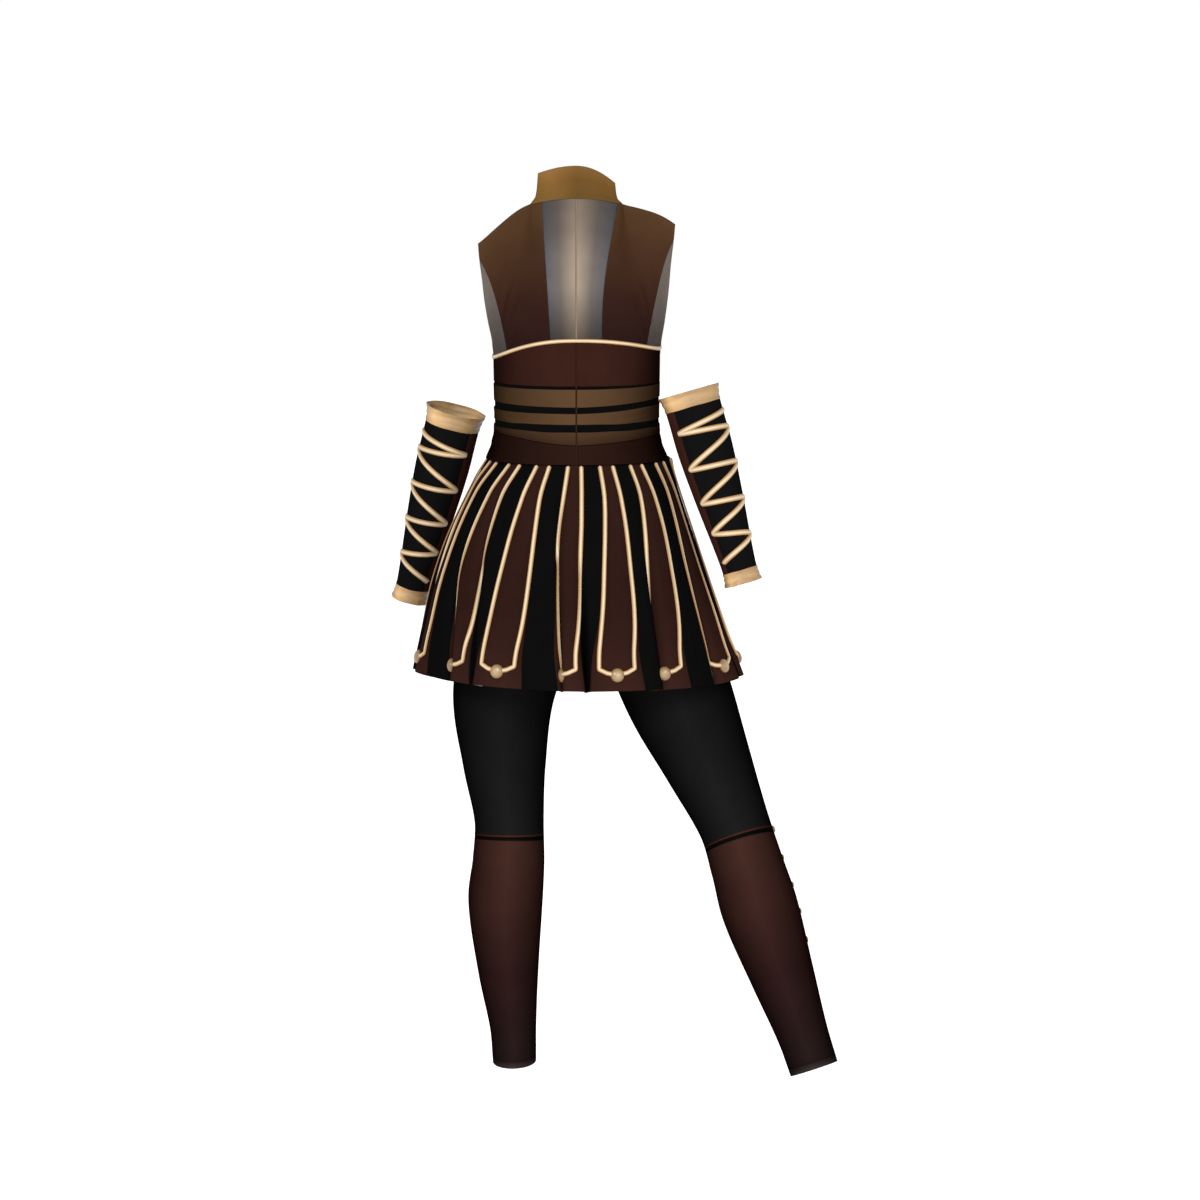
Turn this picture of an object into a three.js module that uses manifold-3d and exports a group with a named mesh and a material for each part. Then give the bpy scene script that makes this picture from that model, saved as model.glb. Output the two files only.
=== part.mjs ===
// A cheer uniform as it hangs on its absent wearer: a sleeveless dress with a stand collar and
// a flared skirt of sixteen tabs, full-length leggings with a boot look, and two laced gauntlets.
// Millimetres, +Z up. The wearer faces -Y and the wearer's left is +X. The origin is the centre
// of the waist seam, where the skirt is sewn to the waistband.
import * as THREE from 'three';
import { mergeVertices } from 'three/addons/utils/BufferGeometryUtils.js';
import Module from 'manifold-3d';

const CLOTH = 1.6; // thickness of every cloth shell
const SEAM = 0.9; // clear space between two shells sewn edge to edge
const LAYER = 0.5; // clear space between a shell and a piece laid on it
const RING = 32; // sides of a ring round the torso
const LIMB = 16; // sides of a ring round an arm or a leg
const SQUARENESS = 2.3; // exponent of the torso's superellipse, 2 is an ellipse

const PIPING = 6; // width of the gold piping
const CORD_RISE = 2.2; // thickness of the piping and the lacing
const LACE = 10; // width of the gold lacing, measured round the limb
const NECK_SHARE = 0.45; // share of the bodice's half width that the collar takes
const UNDERARM = 0.12; // height of the underarm point, as a share of the armhole edge
const HORN = 0.85; // height where the side mesh runs out into the armhole edge
const COLLAR_FOOT = 0.06; // lower edge of the collar cloth, just above the seam it is sewn to
const MESH_LOW = 0.16; // edge of the back mesh at the piping, as a share of the half width
const MESH_HIGH = 0.33; // edge of the back mesh at the collar
const SIDE_SHARE = 0.41; // share of the half width that the side mesh takes at the piping
const SHOULDER_TILT = 15; // how far the right shoulder is up and the left one down
const PIPING_RISE = { side: 163, back: 30, front: 22 }; // height at the sides, and what it gains
const WRAP_TOP = 118; // upper edge of the black waist wrap
const WAISTBAND_TOP = 28.5;
const STRAPS = { upper: [89, 117], middle: [62, 79], lower: [30, 50] }; // lower and upper edges
const SIDE_SEAM = 0.3; // half the gap in the side seam under the piping, in degrees

const TABS = 16; // tabs round the skirt
const SKIRT_DROP = 347; // from the waist seam to the hem
const TAB_TOP = 0.42; // width of a tab at the waist, as a share of the pitch
const TAB_HEM = 0.88; // width of a tab at the hem, as a share of the pitch
const SKIRT_ROWS = 6;
const FOLD_SHARE = 0.6; // share of the real fold depth that these plain panels show

// Torso: height, half width, depth behind the side line, depth before it.
const TORSO = smooth([
  [-30, 152, 118, 104],
  [0, 142, 105, 98],
  [25, 132, 102, 96],
  [60, 128, 100, 96],
  [110, 128.5, 104, 102],
  [150, 129, 109, 114],
  [200, 129.5, 113, 124],
  [240, 130, 118, 128],
]);

// Skirt: drop below the waist seam, half width, depth behind, depth before, shift to the left.
const SKIRT = smooth([
  [0, 142, 105, 98, -4],
  [40, 158.5, 126, 112, 2.5],
  [120, 190.5, 156, 140, 9],
  [200, 219, 181, 165, 8.5],
  [285, 243.5, 202, 188, 2.5],
  [347, 261.5, 214, 204, -2.5],
]);

// Folds of the skirt at the hem: degrees from the centre back towards the left, outward millimetres.
const FOLDS = [
  [-168, 10], [-157, -14], [-146, 12], [-135, -12], [-124, 13], [-113, -15], [-101, 11], [-90, -12],
  [-79, 12], [-69, -14], [-58, 13], [-47, -12], [-36, 13], [-28, -16], [-15, 15], [-4, -15],
  [10, 13], [18, -6], [26, 12], [37, -15], [45, 10], [53, -13], [65, 14], [76, -12],
  [88, 11], [99, -13], [111, 13], [122, -12], [133, 12], [145, -14], [157, 11], [170, -12],
];

// Armhole edge, behind and before the shoulder: share of its height, then a point of the left side.
const ARMHOLE = {
  back: smooth([
    [0, 129, 0, 167], [UNDERARM, 131, 0, 188], [0.3, 136, 36, 222], [0.5, 141, 52, 260],
    [0.7, 145, 45, 297], [0.86, 150, 24, 328], [1, 153, 4, 349],
  ]),
  front: smooth([
    [0, 129, 0, 167], [UNDERARM, 131, 0, 188], [0.3, 131, -44, 222], [0.5, 133, -62, 260],
    [0.7, 138, -54, 297], [0.86, 147, -26, 328], [1, 153, 4, 349],
  ]),
};

// Centre line of the bodice: share of its height, depth, height.
const CENTRE = {
  back: smooth([
    [0, 113, 197], [0.25, 119, 250], [0.5, 119, 303], [0.72, 107, 350], [0.88, 84, 388], [1, 62, 414],
  ]),
  front: smooth([
    [0, -124, 189], [0.2, -130, 222], [0.45, -118, 270], [0.7, -90, 320], [0.88, -66, 360], [1, -52, 384],
  ]),
};

// Shoulder seam of the left side, from the collar to the tip: share of the half width, point.
const SHOULDER = smooth([
  [NECK_SHARE, 70, 5, 396], [0.63, 95, 3, 386], [0.82, 125, 3, 369], [1, 153, 4, 349],
]);

// Collar: share of its height, half width, half depth, centre in Y.
const COLLAR = smooth([[0, 70, 57, 5], [0.25, 62, 53, 4], [1, 58, 49, 1]]);

// Legs: share of the length, centre X Y Z, half width, half depth.
const LEGS = {
  left: smooth([
    [0, 84, 8, -190, 86, 98], [0.12, 92, 8, -270, 86, 96], [0.26, 117, 6, -380, 79, 84],
    [0.4, 116, 2, -490, 65, 70], [0.52, 109, -2, -585, 54, 60], [0.6, 110, 8, -650, 56, 60],
    [0.69, 115, 16, -715, 58, 60], [0.82, 111, 10, -830, 47, 48], [0.93, 104, 2, -925, 36, 39],
    [1, 102, -1, -984, 33.5, 38],
  ]),
  right: smooth([
    [0, -98, 10, -190, 86, 98], [0.12, -120, 18, -270, 86, 96], [0.26, -163, 34, -380, 83, 86],
    [0.4, -208, 56, -482, 68, 72], [0.52, -248, 78, -574, 55, 61], [0.6, -268, 101, -635, 56, 61],
    [0.69, -288, 126, -700, 59, 61], [0.82, -322, 155, -798, 49, 50], [0.93, -353, 180, -885, 39, 41],
    [1, -371, 195, -938, 37, 40],
  ]),
};
const LEG_CUTS = { hips: 0.2, knee: 0.545, band: 0.557, boot: 0.985, ankle: 1 };
const SHIN_ANGLE = { left: -42, right: -118 }; // direction that each laced shin faces, from +X

// Forearms: centre of the upper and the lower edge of each gauntlet, in X Y Z.
const ARMS = {
  left: { top: [193, -80, 65], foot: [271, -110, -243] },
  right: { top: [-174, 78, 111], foot: [-259, 110, -182] },
};
// Gauntlets: share of the length, half width, half depth.
const ARM_RADII = smooth([
  [0, 45, 44], [0.07, 42, 42], [0.3, 41.5, 41], [0.55, 36, 36], [0.8, 28.5, 29], [0.93, 25.5, 27],
  [1, 26.5, 28],
]);
const CUFF_END = 0.075; // lower edge of the upper cuff, as a share of the gauntlet
const WRIST_CUFF = 0.935; // upper edge of the wrist cuff
const LACE_TURNS = 9; // crossings of the lacing down a gauntlet
const LACE_ANGLE = { left: 95, right: 85 }; // direction that each gauntlet's lacing faces, from +X
const LEG_LENGTH = 800;
const ARM_LENGTH = 320;

const FINISH = {
  wine_cloth: [0x3a1e1b, 0.62], olive_cloth: [0x5a402a, 0.6], black_cloth: [0x111111, 0.6],
  strap_cloth: [0x5e4430, 0.58], bronze_cloth: [0x8a6430, 0.5], gold_cloth: [0xc8a064, 0.42],
  gold_trim: [0xd9a860, 0.35], sheer_mesh: [0x786e64, 0.55],
};

const wasm = await Module();
wasm.setup();

/** Smooth interpolation through rows [key, value, ...] with rising keys. */
function smooth(rows) {
  const slope = rows.map((row, i) => {
    const before = rows[Math.max(i - 1, 0)];
    const after = rows[Math.min(i + 1, rows.length - 1)];
    return row.map((_, c) => (after[c] - before[c]) / (after[0] - before[0]));
  });
  return (key) => {
    let i = 0;
    while (i < rows.length - 2 && rows[i + 1][0] <= key) i += 1;
    const low = rows[i];
    const high = rows[i + 1];
    const span = high[0] - low[0];
    const t = (key - low[0]) / span;
    const rise = t * t * (3 - 2 * t);
    return low.slice(1).map((value, c) => value * (1 - rise) + high[c + 1] * rise
      + span * t * (1 - t) * ((1 - t) * slope[i][c + 1] - t * slope[i + 1][c + 1]));
  };
}

const lerp = THREE.MathUtils.lerp;
const radians = THREE.MathUtils.degToRad;
const smoothstep = THREE.MathUtils.smoothstep;
const power = (value, exponent) => Math.sign(value) * Math.abs(value) ** exponent;

/** Direction square to a surface, pointing out when u runs anticlockwise and v runs up. */
function outward(surface, u, v) {
  const step = 1e-3;
  const alongU = surface(u + step, v).sub(surface(u - step, v));
  const alongV = surface(u, v + step).sub(surface(u, v - step));
  return alongU.cross(alongV).normalize();
}

/** Closed solid between two layers of a surface, given as grids of points. */
function solidBetween(outer, inner, columns, rows, ring) {
  const width = ring ? columns : columns + 1;
  const layer = width * (rows + 1);
  const vertices = [...outer, ...inner].flatMap((point) => point.toArray());
  const at = (i, j, deep) => deep * layer + j * width + (ring ? i % columns : i);
  const faces = [];
  const quad = (a, b, c, d) => faces.push(a, b, c, a, c, d);
  for (let i = 0; i < columns; i += 1) {
    for (let j = 0; j < rows; j += 1) {
      quad(at(i, j, 0), at(i + 1, j, 0), at(i + 1, j + 1, 0), at(i, j + 1, 0));
      quad(at(i, j, 1), at(i, j + 1, 1), at(i + 1, j + 1, 1), at(i + 1, j, 1));
    }
    quad(at(i, 0, 0), at(i, 0, 1), at(i + 1, 0, 1), at(i + 1, 0, 0));
    quad(at(i, rows, 0), at(i + 1, rows, 0), at(i + 1, rows, 1), at(i, rows, 1));
  }
  for (let j = 0; j < rows && !ring; j += 1) {
    quad(at(0, j, 0), at(0, j + 1, 0), at(0, j + 1, 1), at(0, j, 1));
    quad(at(columns, j, 0), at(columns, j, 1), at(columns, j + 1, 1), at(columns, j + 1, 0));
  }
  const geometry = new THREE.BufferGeometry();
  geometry.setAttribute('position', new THREE.Float32BufferAttribute(vertices, 3));
  geometry.setIndex(faces);
  geometry.computeVertexNormals();
  return geometry;
}

/**
 * Cloth shell on a surface of u and v, both from 0 to 1. `lift` is the clear space under it and
 * `ring` closes it on itself in u.
 */
function shell(surface, columns, rows, { lift = 0, thick = CLOTH, ring = false } = {}) {
  const outer = [];
  const inner = [];
  for (let j = 0; j <= rows; j += 1) {
    for (let i = 0; i < (ring ? columns : columns + 1); i += 1) {
      const [u, v] = [i / columns, j / rows];
      const point = surface(u, v);
      const normal = outward(surface, u, v);
      outer.push(point.clone().addScaledVector(normal, lift + thick));
      inner.push(point.addScaledVector(normal, lift));
    }
  }
  return solidBetween(outer, inner, columns, rows, ring);
}

/** Part of a surface: u and v from 0 to 1 cover the given ranges. */
const part = (surface, u0, u1, v0, v1) => (u, v) => surface(lerp(u0, u1, u), lerp(v0, v1, v));

/** Flat cord along a path that gives its point, outward normal and widthways direction. */
function cord(path, steps, width, { lift = 0, closed = false } = {}) {
  const outer = [];
  const inner = [];
  for (let side = 0; side <= 1; side += 1) {
    for (let i = 0; i < (closed ? steps : steps + 1); i += 1) {
      const { point, normal, across } = path(i / steps);
      const edge = point.addScaledVector(across, (side - 0.5) * width);
      inner.push(edge.clone().addScaledVector(normal, lift));
      outer.push(edge.addScaledVector(normal, lift + CORD_RISE));
    }
  }
  return solidBetween(outer, inner, steps, 1, closed);
}

// ---------------------------------------------------------------- torso and bodice

/** Point of the torso at an angle from the left side, anticlockwise, and a height. */
function torso(degrees, height) {
  const [width, back, front] = TORSO(height);
  const angle = radians(degrees);
  const depth = Math.sin(angle) > 0 ? back : front;
  const x = width * power(Math.cos(angle), 2 / SQUARENESS);
  return new THREE.Vector3(x, depth * power(Math.sin(angle), 2 / SQUARENESS), height);
}

/** Height of the piping: highest at the centre back, lowest at the sides. */
function pipingHeight(degrees) {
  const sine = Math.sin(radians(degrees));
  return PIPING_RISE.side + (sine > 0 ? PIPING_RISE.back : PIPING_RISE.front) * sine * sine;
}

/** Band of the torso between two heights, u going once round. */
const band = (low, high) => (u, v) => torso(u * 360, lerp(low, high, v));

/** Bodice under the piping, from one side seam to the other. */
function bodice(start) {
  return (u, v) => {
    const degrees = start + lerp(SIDE_SEAM, 180 - SIDE_SEAM, u);
    return torso(degrees, lerp(WRAP_TOP + SEAM, pipingHeight(degrees) - PIPING / 2 - SEAM, v));
  };
}

/** Collar seam and stand collar: u goes once round, v goes up. */
function collar(u, v) {
  const angle = u * 2 * Math.PI;
  const [width, depth, centre] = COLLAR(v);
  const sine = Math.sin(angle);
  const foot = 396 + (sine > 0 ? 19 : -12) * sine * sine;
  const rim = 444 + (sine > 0 ? 22 : -14) * sine * sine;
  return new THREE.Vector3(width * Math.cos(angle), centre + depth * sine, lerp(foot, rim, v));
}

/** Top edge of a bodice quarter: the collar seam, then the shoulder seam. */
function topEdge(face, s) {
  if (s > NECK_SHARE) return new THREE.Vector3(...SHOULDER(s));
  const turn = 0.25 * (1 - s / NECK_SHARE);
  return collar(face === 'back' ? turn : -turn, 0);
}

/**
 * Quarter of the upper bodice as a Coons patch, a blend of its four edges. s goes from the
 * centre line to the side or the armhole, t from the piping up to the collar and shoulder.
 */
function quarter(face, s, t) {
  const sign = face === 'back' ? 1 : -1;
  const lowEdge = (share) => {
    const degrees = sign * 90 * (1 - share);
    return torso(degrees, pipingHeight(degrees) + PIPING / 2 + SEAM);
  };
  const armEdge = (share) => new THREE.Vector3(...ARMHOLE[face](share));
  const midEdge = (share) => new THREE.Vector3(0, ...CENTRE[face](share));
  const point = lowEdge(s).multiplyScalar(1 - t).addScaledVector(topEdge(face, s), t);
  point.addScaledVector(midEdge(t), 1 - s).addScaledVector(armEdge(t), s);
  point.addScaledVector(midEdge(0), -(1 - s) * (1 - t)).addScaledVector(armEdge(0), -s * (1 - t));
  return point.addScaledVector(midEdge(1), -(1 - s) * t).addScaledVector(armEdge(1), -s * t);
}

/** Bodice point for one side of the body, with the shoulders tilted. */
function bodicePoint(side, face, s, t) {
  const point = quarter(face, s, t);
  const reach = smoothstep(point.x, 70, 153) * smoothstep(point.z, 180, 340);
  point.x *= side;
  point.z -= side * SHOULDER_TILT * reach;
  return point;
}

const meshEdge = (t) => lerp(MESH_LOW, MESH_HIGH, t);
const brownEdge = (t) => Math.min(1, 1 - SIDE_SHARE * (1 - t / HORN));
const CLEAR = 0.004; // half a seam, as a share of the half width
const TOP = 0.995; // top edge of the upper bodice, one seam under the collar
const SIDE_EDGE = 0.97; // edges of the side mesh, one seam inside the panels round it

/** Back panel between two edge curves; the left side runs backwards so that it faces out. */
function backPiece(side, inner, outer) {
  return (u, v) => {
    const t = v * TOP;
    const [from, to] = [inner(t) + CLEAR, Math.max(outer(t) - CLEAR, inner(t) + 3 * CLEAR)];
    return bodicePoint(side, 'back', side > 0 ? lerp(to, from, u) : lerp(from, to, u), t);
  };
}

/** Front panel from one armhole to the other, across the centre line. */
function frontPiece(u, v) {
  const t = v * TOP;
  const across = lerp(-1, 1, u);
  const s = Math.abs(across) * (brownEdge(t) - CLEAR);
  return bodicePoint(Math.sign(across) || 1, 'front', s, t);
}

/** Mesh under the arm: u from the front edge round to the back edge, v up to the armhole. */
function sidePiece(side) {
  return (u, v) => {
    const around = side * lerp(-SIDE_EDGE, SIDE_EDGE, u);
    const rise = v * SIDE_EDGE;
    const t = rise * lerp(UNDERARM, HORN, Math.abs(around));
    const s = 1 - (1 - rise) * SIDE_SHARE * Math.abs(around);
    return bodicePoint(side, around > 0 ? 'back' : 'front', s, t);
  };
}

// ---------------------------------------------------------------- skirt

/** Outward depth of the folds at the hem for an angle from the centre back, in degrees. */
function foldDepth(degrees) {
  const turn = ((degrees - FOLDS[0][0]) % 360 + 360) % 360 + FOLDS[0][0];
  const after = FOLDS.findIndex(([place]) => place > turn);
  const [low, depth] = FOLDS[(after + FOLDS.length - 1) % FOLDS.length];
  const [high, next] = after < 0 ? [FOLDS[0][0] + 360, FOLDS[0][1]] : FOLDS[after];
  return lerp(depth, next, (1 - Math.cos(Math.PI * (turn - low) / (high - low))) / 2);
}

/**
 * Skirt point. column counts quarters of a tab pitch from the centre back towards the right:
 * 4i is the middle of tab i, 4i - 1 and 4i + 1 are its edges, and 4i + 2 is the middle of a gap.
 */
function skirt(column, fall) {
  const tab = Math.round(column / 4);
  const off = column - 4 * tab;
  const share = lerp(TAB_TOP, TAB_HEM, fall ** 0.8) / 2;
  const beyond = Math.max(Math.abs(off) - 1, 0);
  const reach = Math.min(Math.abs(off), 1) * share + beyond * (0.5 - share);
  const degrees = 90 + (360 / TABS) * (tab + Math.sign(off) * reach);
  const angle = radians(degrees);
  const [width, back, front, shift] = SKIRT(fall * SKIRT_DROP);
  const fold = FOLD_SHARE * foldDepth(90 - degrees) * fall ** 1.5;
  const depth = (Math.sin(angle) > 0 ? back : front) + fold;
  return new THREE.Vector3(
    shift + (width + fold) * Math.cos(angle), depth * Math.sin(angle), -fall * SKIRT_DROP);
}

/** Piece of the skirt between two columns, v going up from the hem to the waist. */
function skirtPiece(from, to, seam) {
  return (u, v) => {
    const column = THREE.MathUtils.clamp(lerp(from, to, u), from + seam, to - seam);
    return skirt(column, lerp(1, SEAM / SKIRT_DROP, v));
  };
}

// ---------------------------------------------------------------- legs and arms

/** Point round a limb whose axis runs down, at an angle from +X, anticlockwise from above. */
function limb(centre, along, halfWidth, halfDepth, turn) {
  const across = along.clone().cross(new THREE.Vector3(0, 1, 0)).normalize();
  const behind = across.clone().cross(along);
  return centre.clone().addScaledVector(across, halfWidth * Math.cos(turn))
    .addScaledVector(behind, halfDepth * Math.sin(turn));
}

/** Leg surface: u goes once round, v is the share of the length counted from the top. */
function leg(side) {
  const centre = (share) => new THREE.Vector3(...LEGS[side](share).slice(0, 3));
  return (u, share) => {
    const along = centre(share + 0.01).sub(centre(share - 0.01)).normalize();
    const [, , , halfWidth, halfDepth] = LEGS[side](share);
    return limb(centre(share), along, halfWidth, halfDepth, u * 2 * Math.PI);
  };
}

/** Gauntlet surface: u goes once round, v is the share of the length counted from the elbow. */
function arm(side) {
  const top = new THREE.Vector3(...ARMS[side].top);
  const foot = new THREE.Vector3(...ARMS[side].foot);
  const along = foot.clone().sub(top).normalize();
  return (u, share) => {
    const [halfWidth, halfDepth] = ARM_RADII(share);
    return limb(top.clone().lerp(foot, share), along, halfWidth, halfDepth, u * 2 * Math.PI);
  };
}

/** Ring of cloth on a limb between two shares of its length. */
const sleeve = (surface, from, to, rows, lift = 0) => (
  shell(part(surface, 0, 1, to, from), LIMB, rows, { lift, ring: true }));

/** Zigzag lacing on a limb, between two angles and two shares of its length. */
function lacing(surface, middle, spread, from, to, turns) {
  const place = (t) => {
    const crossing = t * turns;
    const wave = 1 - 2 * Math.abs((crossing % 2) - 1);
    return [(middle + spread * wave) / 360, lerp(from, to, t)];
  };
  return (t) => {
    const safe = Math.min(Math.max(t, 1e-4), 1 - 1e-4);
    const [u, v] = place(safe);
    const point = surface(u, v);
    const normal = outward(surface, u, v).negate();
    const across = surface(u + 0.01, v).sub(surface(u - 0.01, v)).normalize();
    return { point, normal, across };
  };
}

// ---------------------------------------------------------------- hips

/** Closed solid inside a stack of rings, capped flat at both ends. */
function stackSolid(surface, columns, rows) {
  const vertices = [];
  for (let j = 0; j <= rows; j += 1) {
    for (let i = 0; i < columns; i += 1) vertices.push(...surface(i / columns, j / rows).toArray());
  }
  const middle = (v) => surface(0, v).add(surface(0.5, v)).multiplyScalar(0.5);
  const foot = vertices.length / 3;
  vertices.push(...middle(0).toArray(), ...middle(1).toArray());
  const faces = [];
  for (let i = 0; i < columns; i += 1) {
    const next = (i + 1) % columns;
    for (let j = 0; j < rows; j += 1) {
      const [a, b] = [j * columns + i, j * columns + next];
      faces.push(a, b, b + columns, a, b + columns, a + columns);
    }
    faces.push(foot, next, i);
    faces.push(foot + 1, rows * columns + i, rows * columns + next);
  }
  return new wasm.Manifold(new wasm.Mesh({
    numProp: 3, vertProperties: new Float32Array(vertices), triVerts: new Uint32Array(faces),
  }));
}

/** Pelvis surface, shrunk by an inset, from under the crotch up to the leggings' waist. */
function pelvis(inset, over) {
  const profile = smooth([
    [-292, 92, 52, 48], [-262, 138, 92, 84], [-215, 166, 122, 104], [-160, 169, 137, 108],
    [-110, 162, 136, 106], [-70, 152, 124, 102], [-20, 139, 104, 95],
  ]);
  return (u, v) => {
    const height = lerp(-292 + inset, -56 + over, v);
    const [width, back, front] = profile(height);
    const angle = u * 2 * Math.PI;
    const depth = (Math.sin(angle) > 0 ? back : front) - inset;
    return new THREE.Vector3((width - inset) * Math.cos(angle) - 4, depth * Math.sin(angle), height);
  };
}

/** Upper end of a leg as a solid, shrunk by an inset, running past the hips' lower edge. */
function legRoot(side, inset, over) {
  const surface = leg(side);
  return (u, v) => {
    const share = lerp(LEG_CUTS.hips + over, 0.03, v);
    return surface(u, share).addScaledVector(outward(surface, u, share), inset);
  };
}

/** Hips of the leggings: pelvis and two leg roots joined, with the wearer's space cut out. */
function hips() {
  const body = (inset, over) => stackSolid(pelvis(inset, over), 24, 7)
    .add(stackSolid(legRoot('left', inset, over / LEG_LENGTH), LIMB, 3))
    .add(stackSolid(legRoot('right', inset, over / LEG_LENGTH), LIMB, 3));
  const mesh = body(0, 0).subtract(body(CLOTH, 8)).getMesh();
  const geometry = new THREE.BufferGeometry();
  geometry.setAttribute('position', new THREE.Float32BufferAttribute(mesh.vertProperties, 3));
  geometry.setIndex(Array.from(mesh.triVerts));
  geometry.computeVertexNormals();
  return geometry;
}

// ---------------------------------------------------------------- assembly

const uniform = new THREE.Group();
const groups = { dress: new THREE.Group(), leggings: new THREE.Group(), gauntlets: new THREE.Group() };
uniform.add(...Object.values(groups));

/** Adds one named piece with its own material to a group. */
function add(group, name, finish, geometry) {
  const [color, roughness] = FINISH[finish];
  const material = new THREE.MeshStandardMaterial({ color, roughness, metalness: 0 });
  const mesh = new THREE.Mesh(geometry, material);
  mesh.name = name;
  groups[group].add(mesh);
}

function addBodice() {
  const ring = { ring: true };
  add('dress', 'collar', 'bronze_cloth', shell(part(collar, 0, 1, COLLAR_FOOT, 1), RING, 3, ring));
  for (const [name, side] of [['left', 1], ['right', -1]]) {
    add('dress', `back_mesh_${name}`, 'sheer_mesh', shell(backPiece(side, () => 0, meshEdge), 3, 8));
    add('dress', `back_panel_${name}`, 'olive_cloth', shell(backPiece(side, meshEdge, brownEdge), 6, 8));
    add('dress', `side_mesh_${name}`, 'sheer_mesh', shell(sidePiece(side), 10, 4));
  }
  add('dress', 'front_panel', 'olive_cloth', shell(frontPiece, 16, 8));
  const chest = (t) => {
    const degrees = t * 360;
    const point = torso(degrees, pipingHeight(degrees));
    const normal = new THREE.Vector3(point.x, point.y, 0).normalize();
    return { point, normal, across: new THREE.Vector3(0, 0, 1) };
  };
  add('dress', 'chest_piping', 'gold_trim', cord(chest, 2 * RING, PIPING, { closed: true }));
  add('dress', 'bodice_back', 'wine_cloth', shell(bodice(0), RING / 2, 3));
  add('dress', 'bodice_front', 'wine_cloth', shell(bodice(180), RING / 2, 3));
  const wrap = shell(band(WAISTBAND_TOP + SEAM, WRAP_TOP), RING, 4, { ...ring, lift: -CLOTH / 2 });
  add('dress', 'waist_wrap', 'black_cloth', wrap);
  for (const [name, [low, high]] of Object.entries(STRAPS)) {
    const piece = shell(band(low, high), RING, 1, { ...ring, lift: CLOTH / 2 + 2 * LAYER });
    add('dress', `waist_strap_${name}`, 'strap_cloth', piece);
  }
  add('dress', 'waistband', 'wine_cloth', shell(band(SEAM, WAISTBAND_TOP), RING, 1, ring));
}

function addSkirt() {
  for (let i = 0; i < 4; i += 1) {
    const piece = skirtPiece(i * TABS - 6, (i + 1) * TABS - 6, 0.03);
    add('dress', `skirt_panel_${i + 1}`, 'black_cloth', shell(piece, TABS, SKIRT_ROWS));
  }
  for (let i = 0; i < TABS; i += 1) {
    const piece = skirtPiece(4 * i - 1, 4 * i + 1, 0);
    const tab = shell(piece, 2, SKIRT_ROWS, { lift: CLOTH + LAYER, thick: CLOTH / 2 });
    add('dress', `skirt_tab_${i + 1}`, 'wine_cloth', tab);
  }
}

function addLeggings() {
  add('leggings', 'leggings_waist', 'black_cloth',
    shell((u, v) => pelvis(-0.4, 0)(u, lerp(1.004, 1.15, v)), RING, 2, { ring: true }));
  add('leggings', 'leggings_hips', 'black_cloth', hips());
  for (const side of ['left', 'right']) {
    const surface = leg(side);
    const gap = SEAM / LEG_LENGTH;
    const { hips: hip, knee, band: low, boot, ankle } = LEG_CUTS;
    add('leggings', `thigh_${side}`, 'black_cloth', sleeve(surface, hip + gap, knee - gap, 5));
    add('leggings', `knee_band_${side}`, 'black_cloth', sleeve(surface, knee, low, 1));
    add('leggings', `boot_${side}`, 'wine_cloth', sleeve(surface, low + gap, boot - gap, 7));
    add('leggings', `ankle_hem_${side}`, 'wine_cloth', sleeve(surface, boot, ankle, 1));
    const lace = lacing(surface, SHIN_ANGLE[side], 20, 0.575, 0.8, 8);
    add('leggings', `shin_lacing_${side}`, 'gold_trim', cord(lace, 32, LACE, { lift: CLOTH + 2 * LAYER }));
  }
}

function addGauntlets() {
  for (const side of ['left', 'right']) {
    const surface = arm(side);
    const gap = SEAM / ARM_LENGTH;
    add('gauntlets', `upper_cuff_${side}`, 'gold_cloth', sleeve(surface, 0, CUFF_END, 1));
    const cloth = sleeve(surface, CUFF_END + gap, WRIST_CUFF - gap, 5);
    add('gauntlets', `gauntlet_sleeve_${side}`, 'black_cloth', cloth);
    add('gauntlets', `wrist_cuff_${side}`, 'gold_cloth', sleeve(surface, WRIST_CUFF, 1, 1));
    const lace = cord(
      lacing(surface, LACE_ANGLE[side], 62, 0.1, 0.9, LACE_TURNS),
      8 * LACE_TURNS, LACE, { lift: CLOTH + 3 * LAYER });
    add('gauntlets', `gauntlet_lacing_${side}`, 'gold_trim', lace);
  }
}

addBodice();
addSkirt();
addLeggings();
addGauntlets();

export default uniform;
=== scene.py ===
"""Cheer uniform on its absent wearer: dress with a tab skirt, leggings and laced gauntlets.

The surfaces are worked out in millimetres from the wearer's measures and stored in metres. The
wearer faces -Y, the wearer's left is +X and the origin is the centre of the waist seam.
"""
import logging
import math
from collections.abc import Callable, Sequence
from dataclasses import dataclass, field
from enum import Enum

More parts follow.
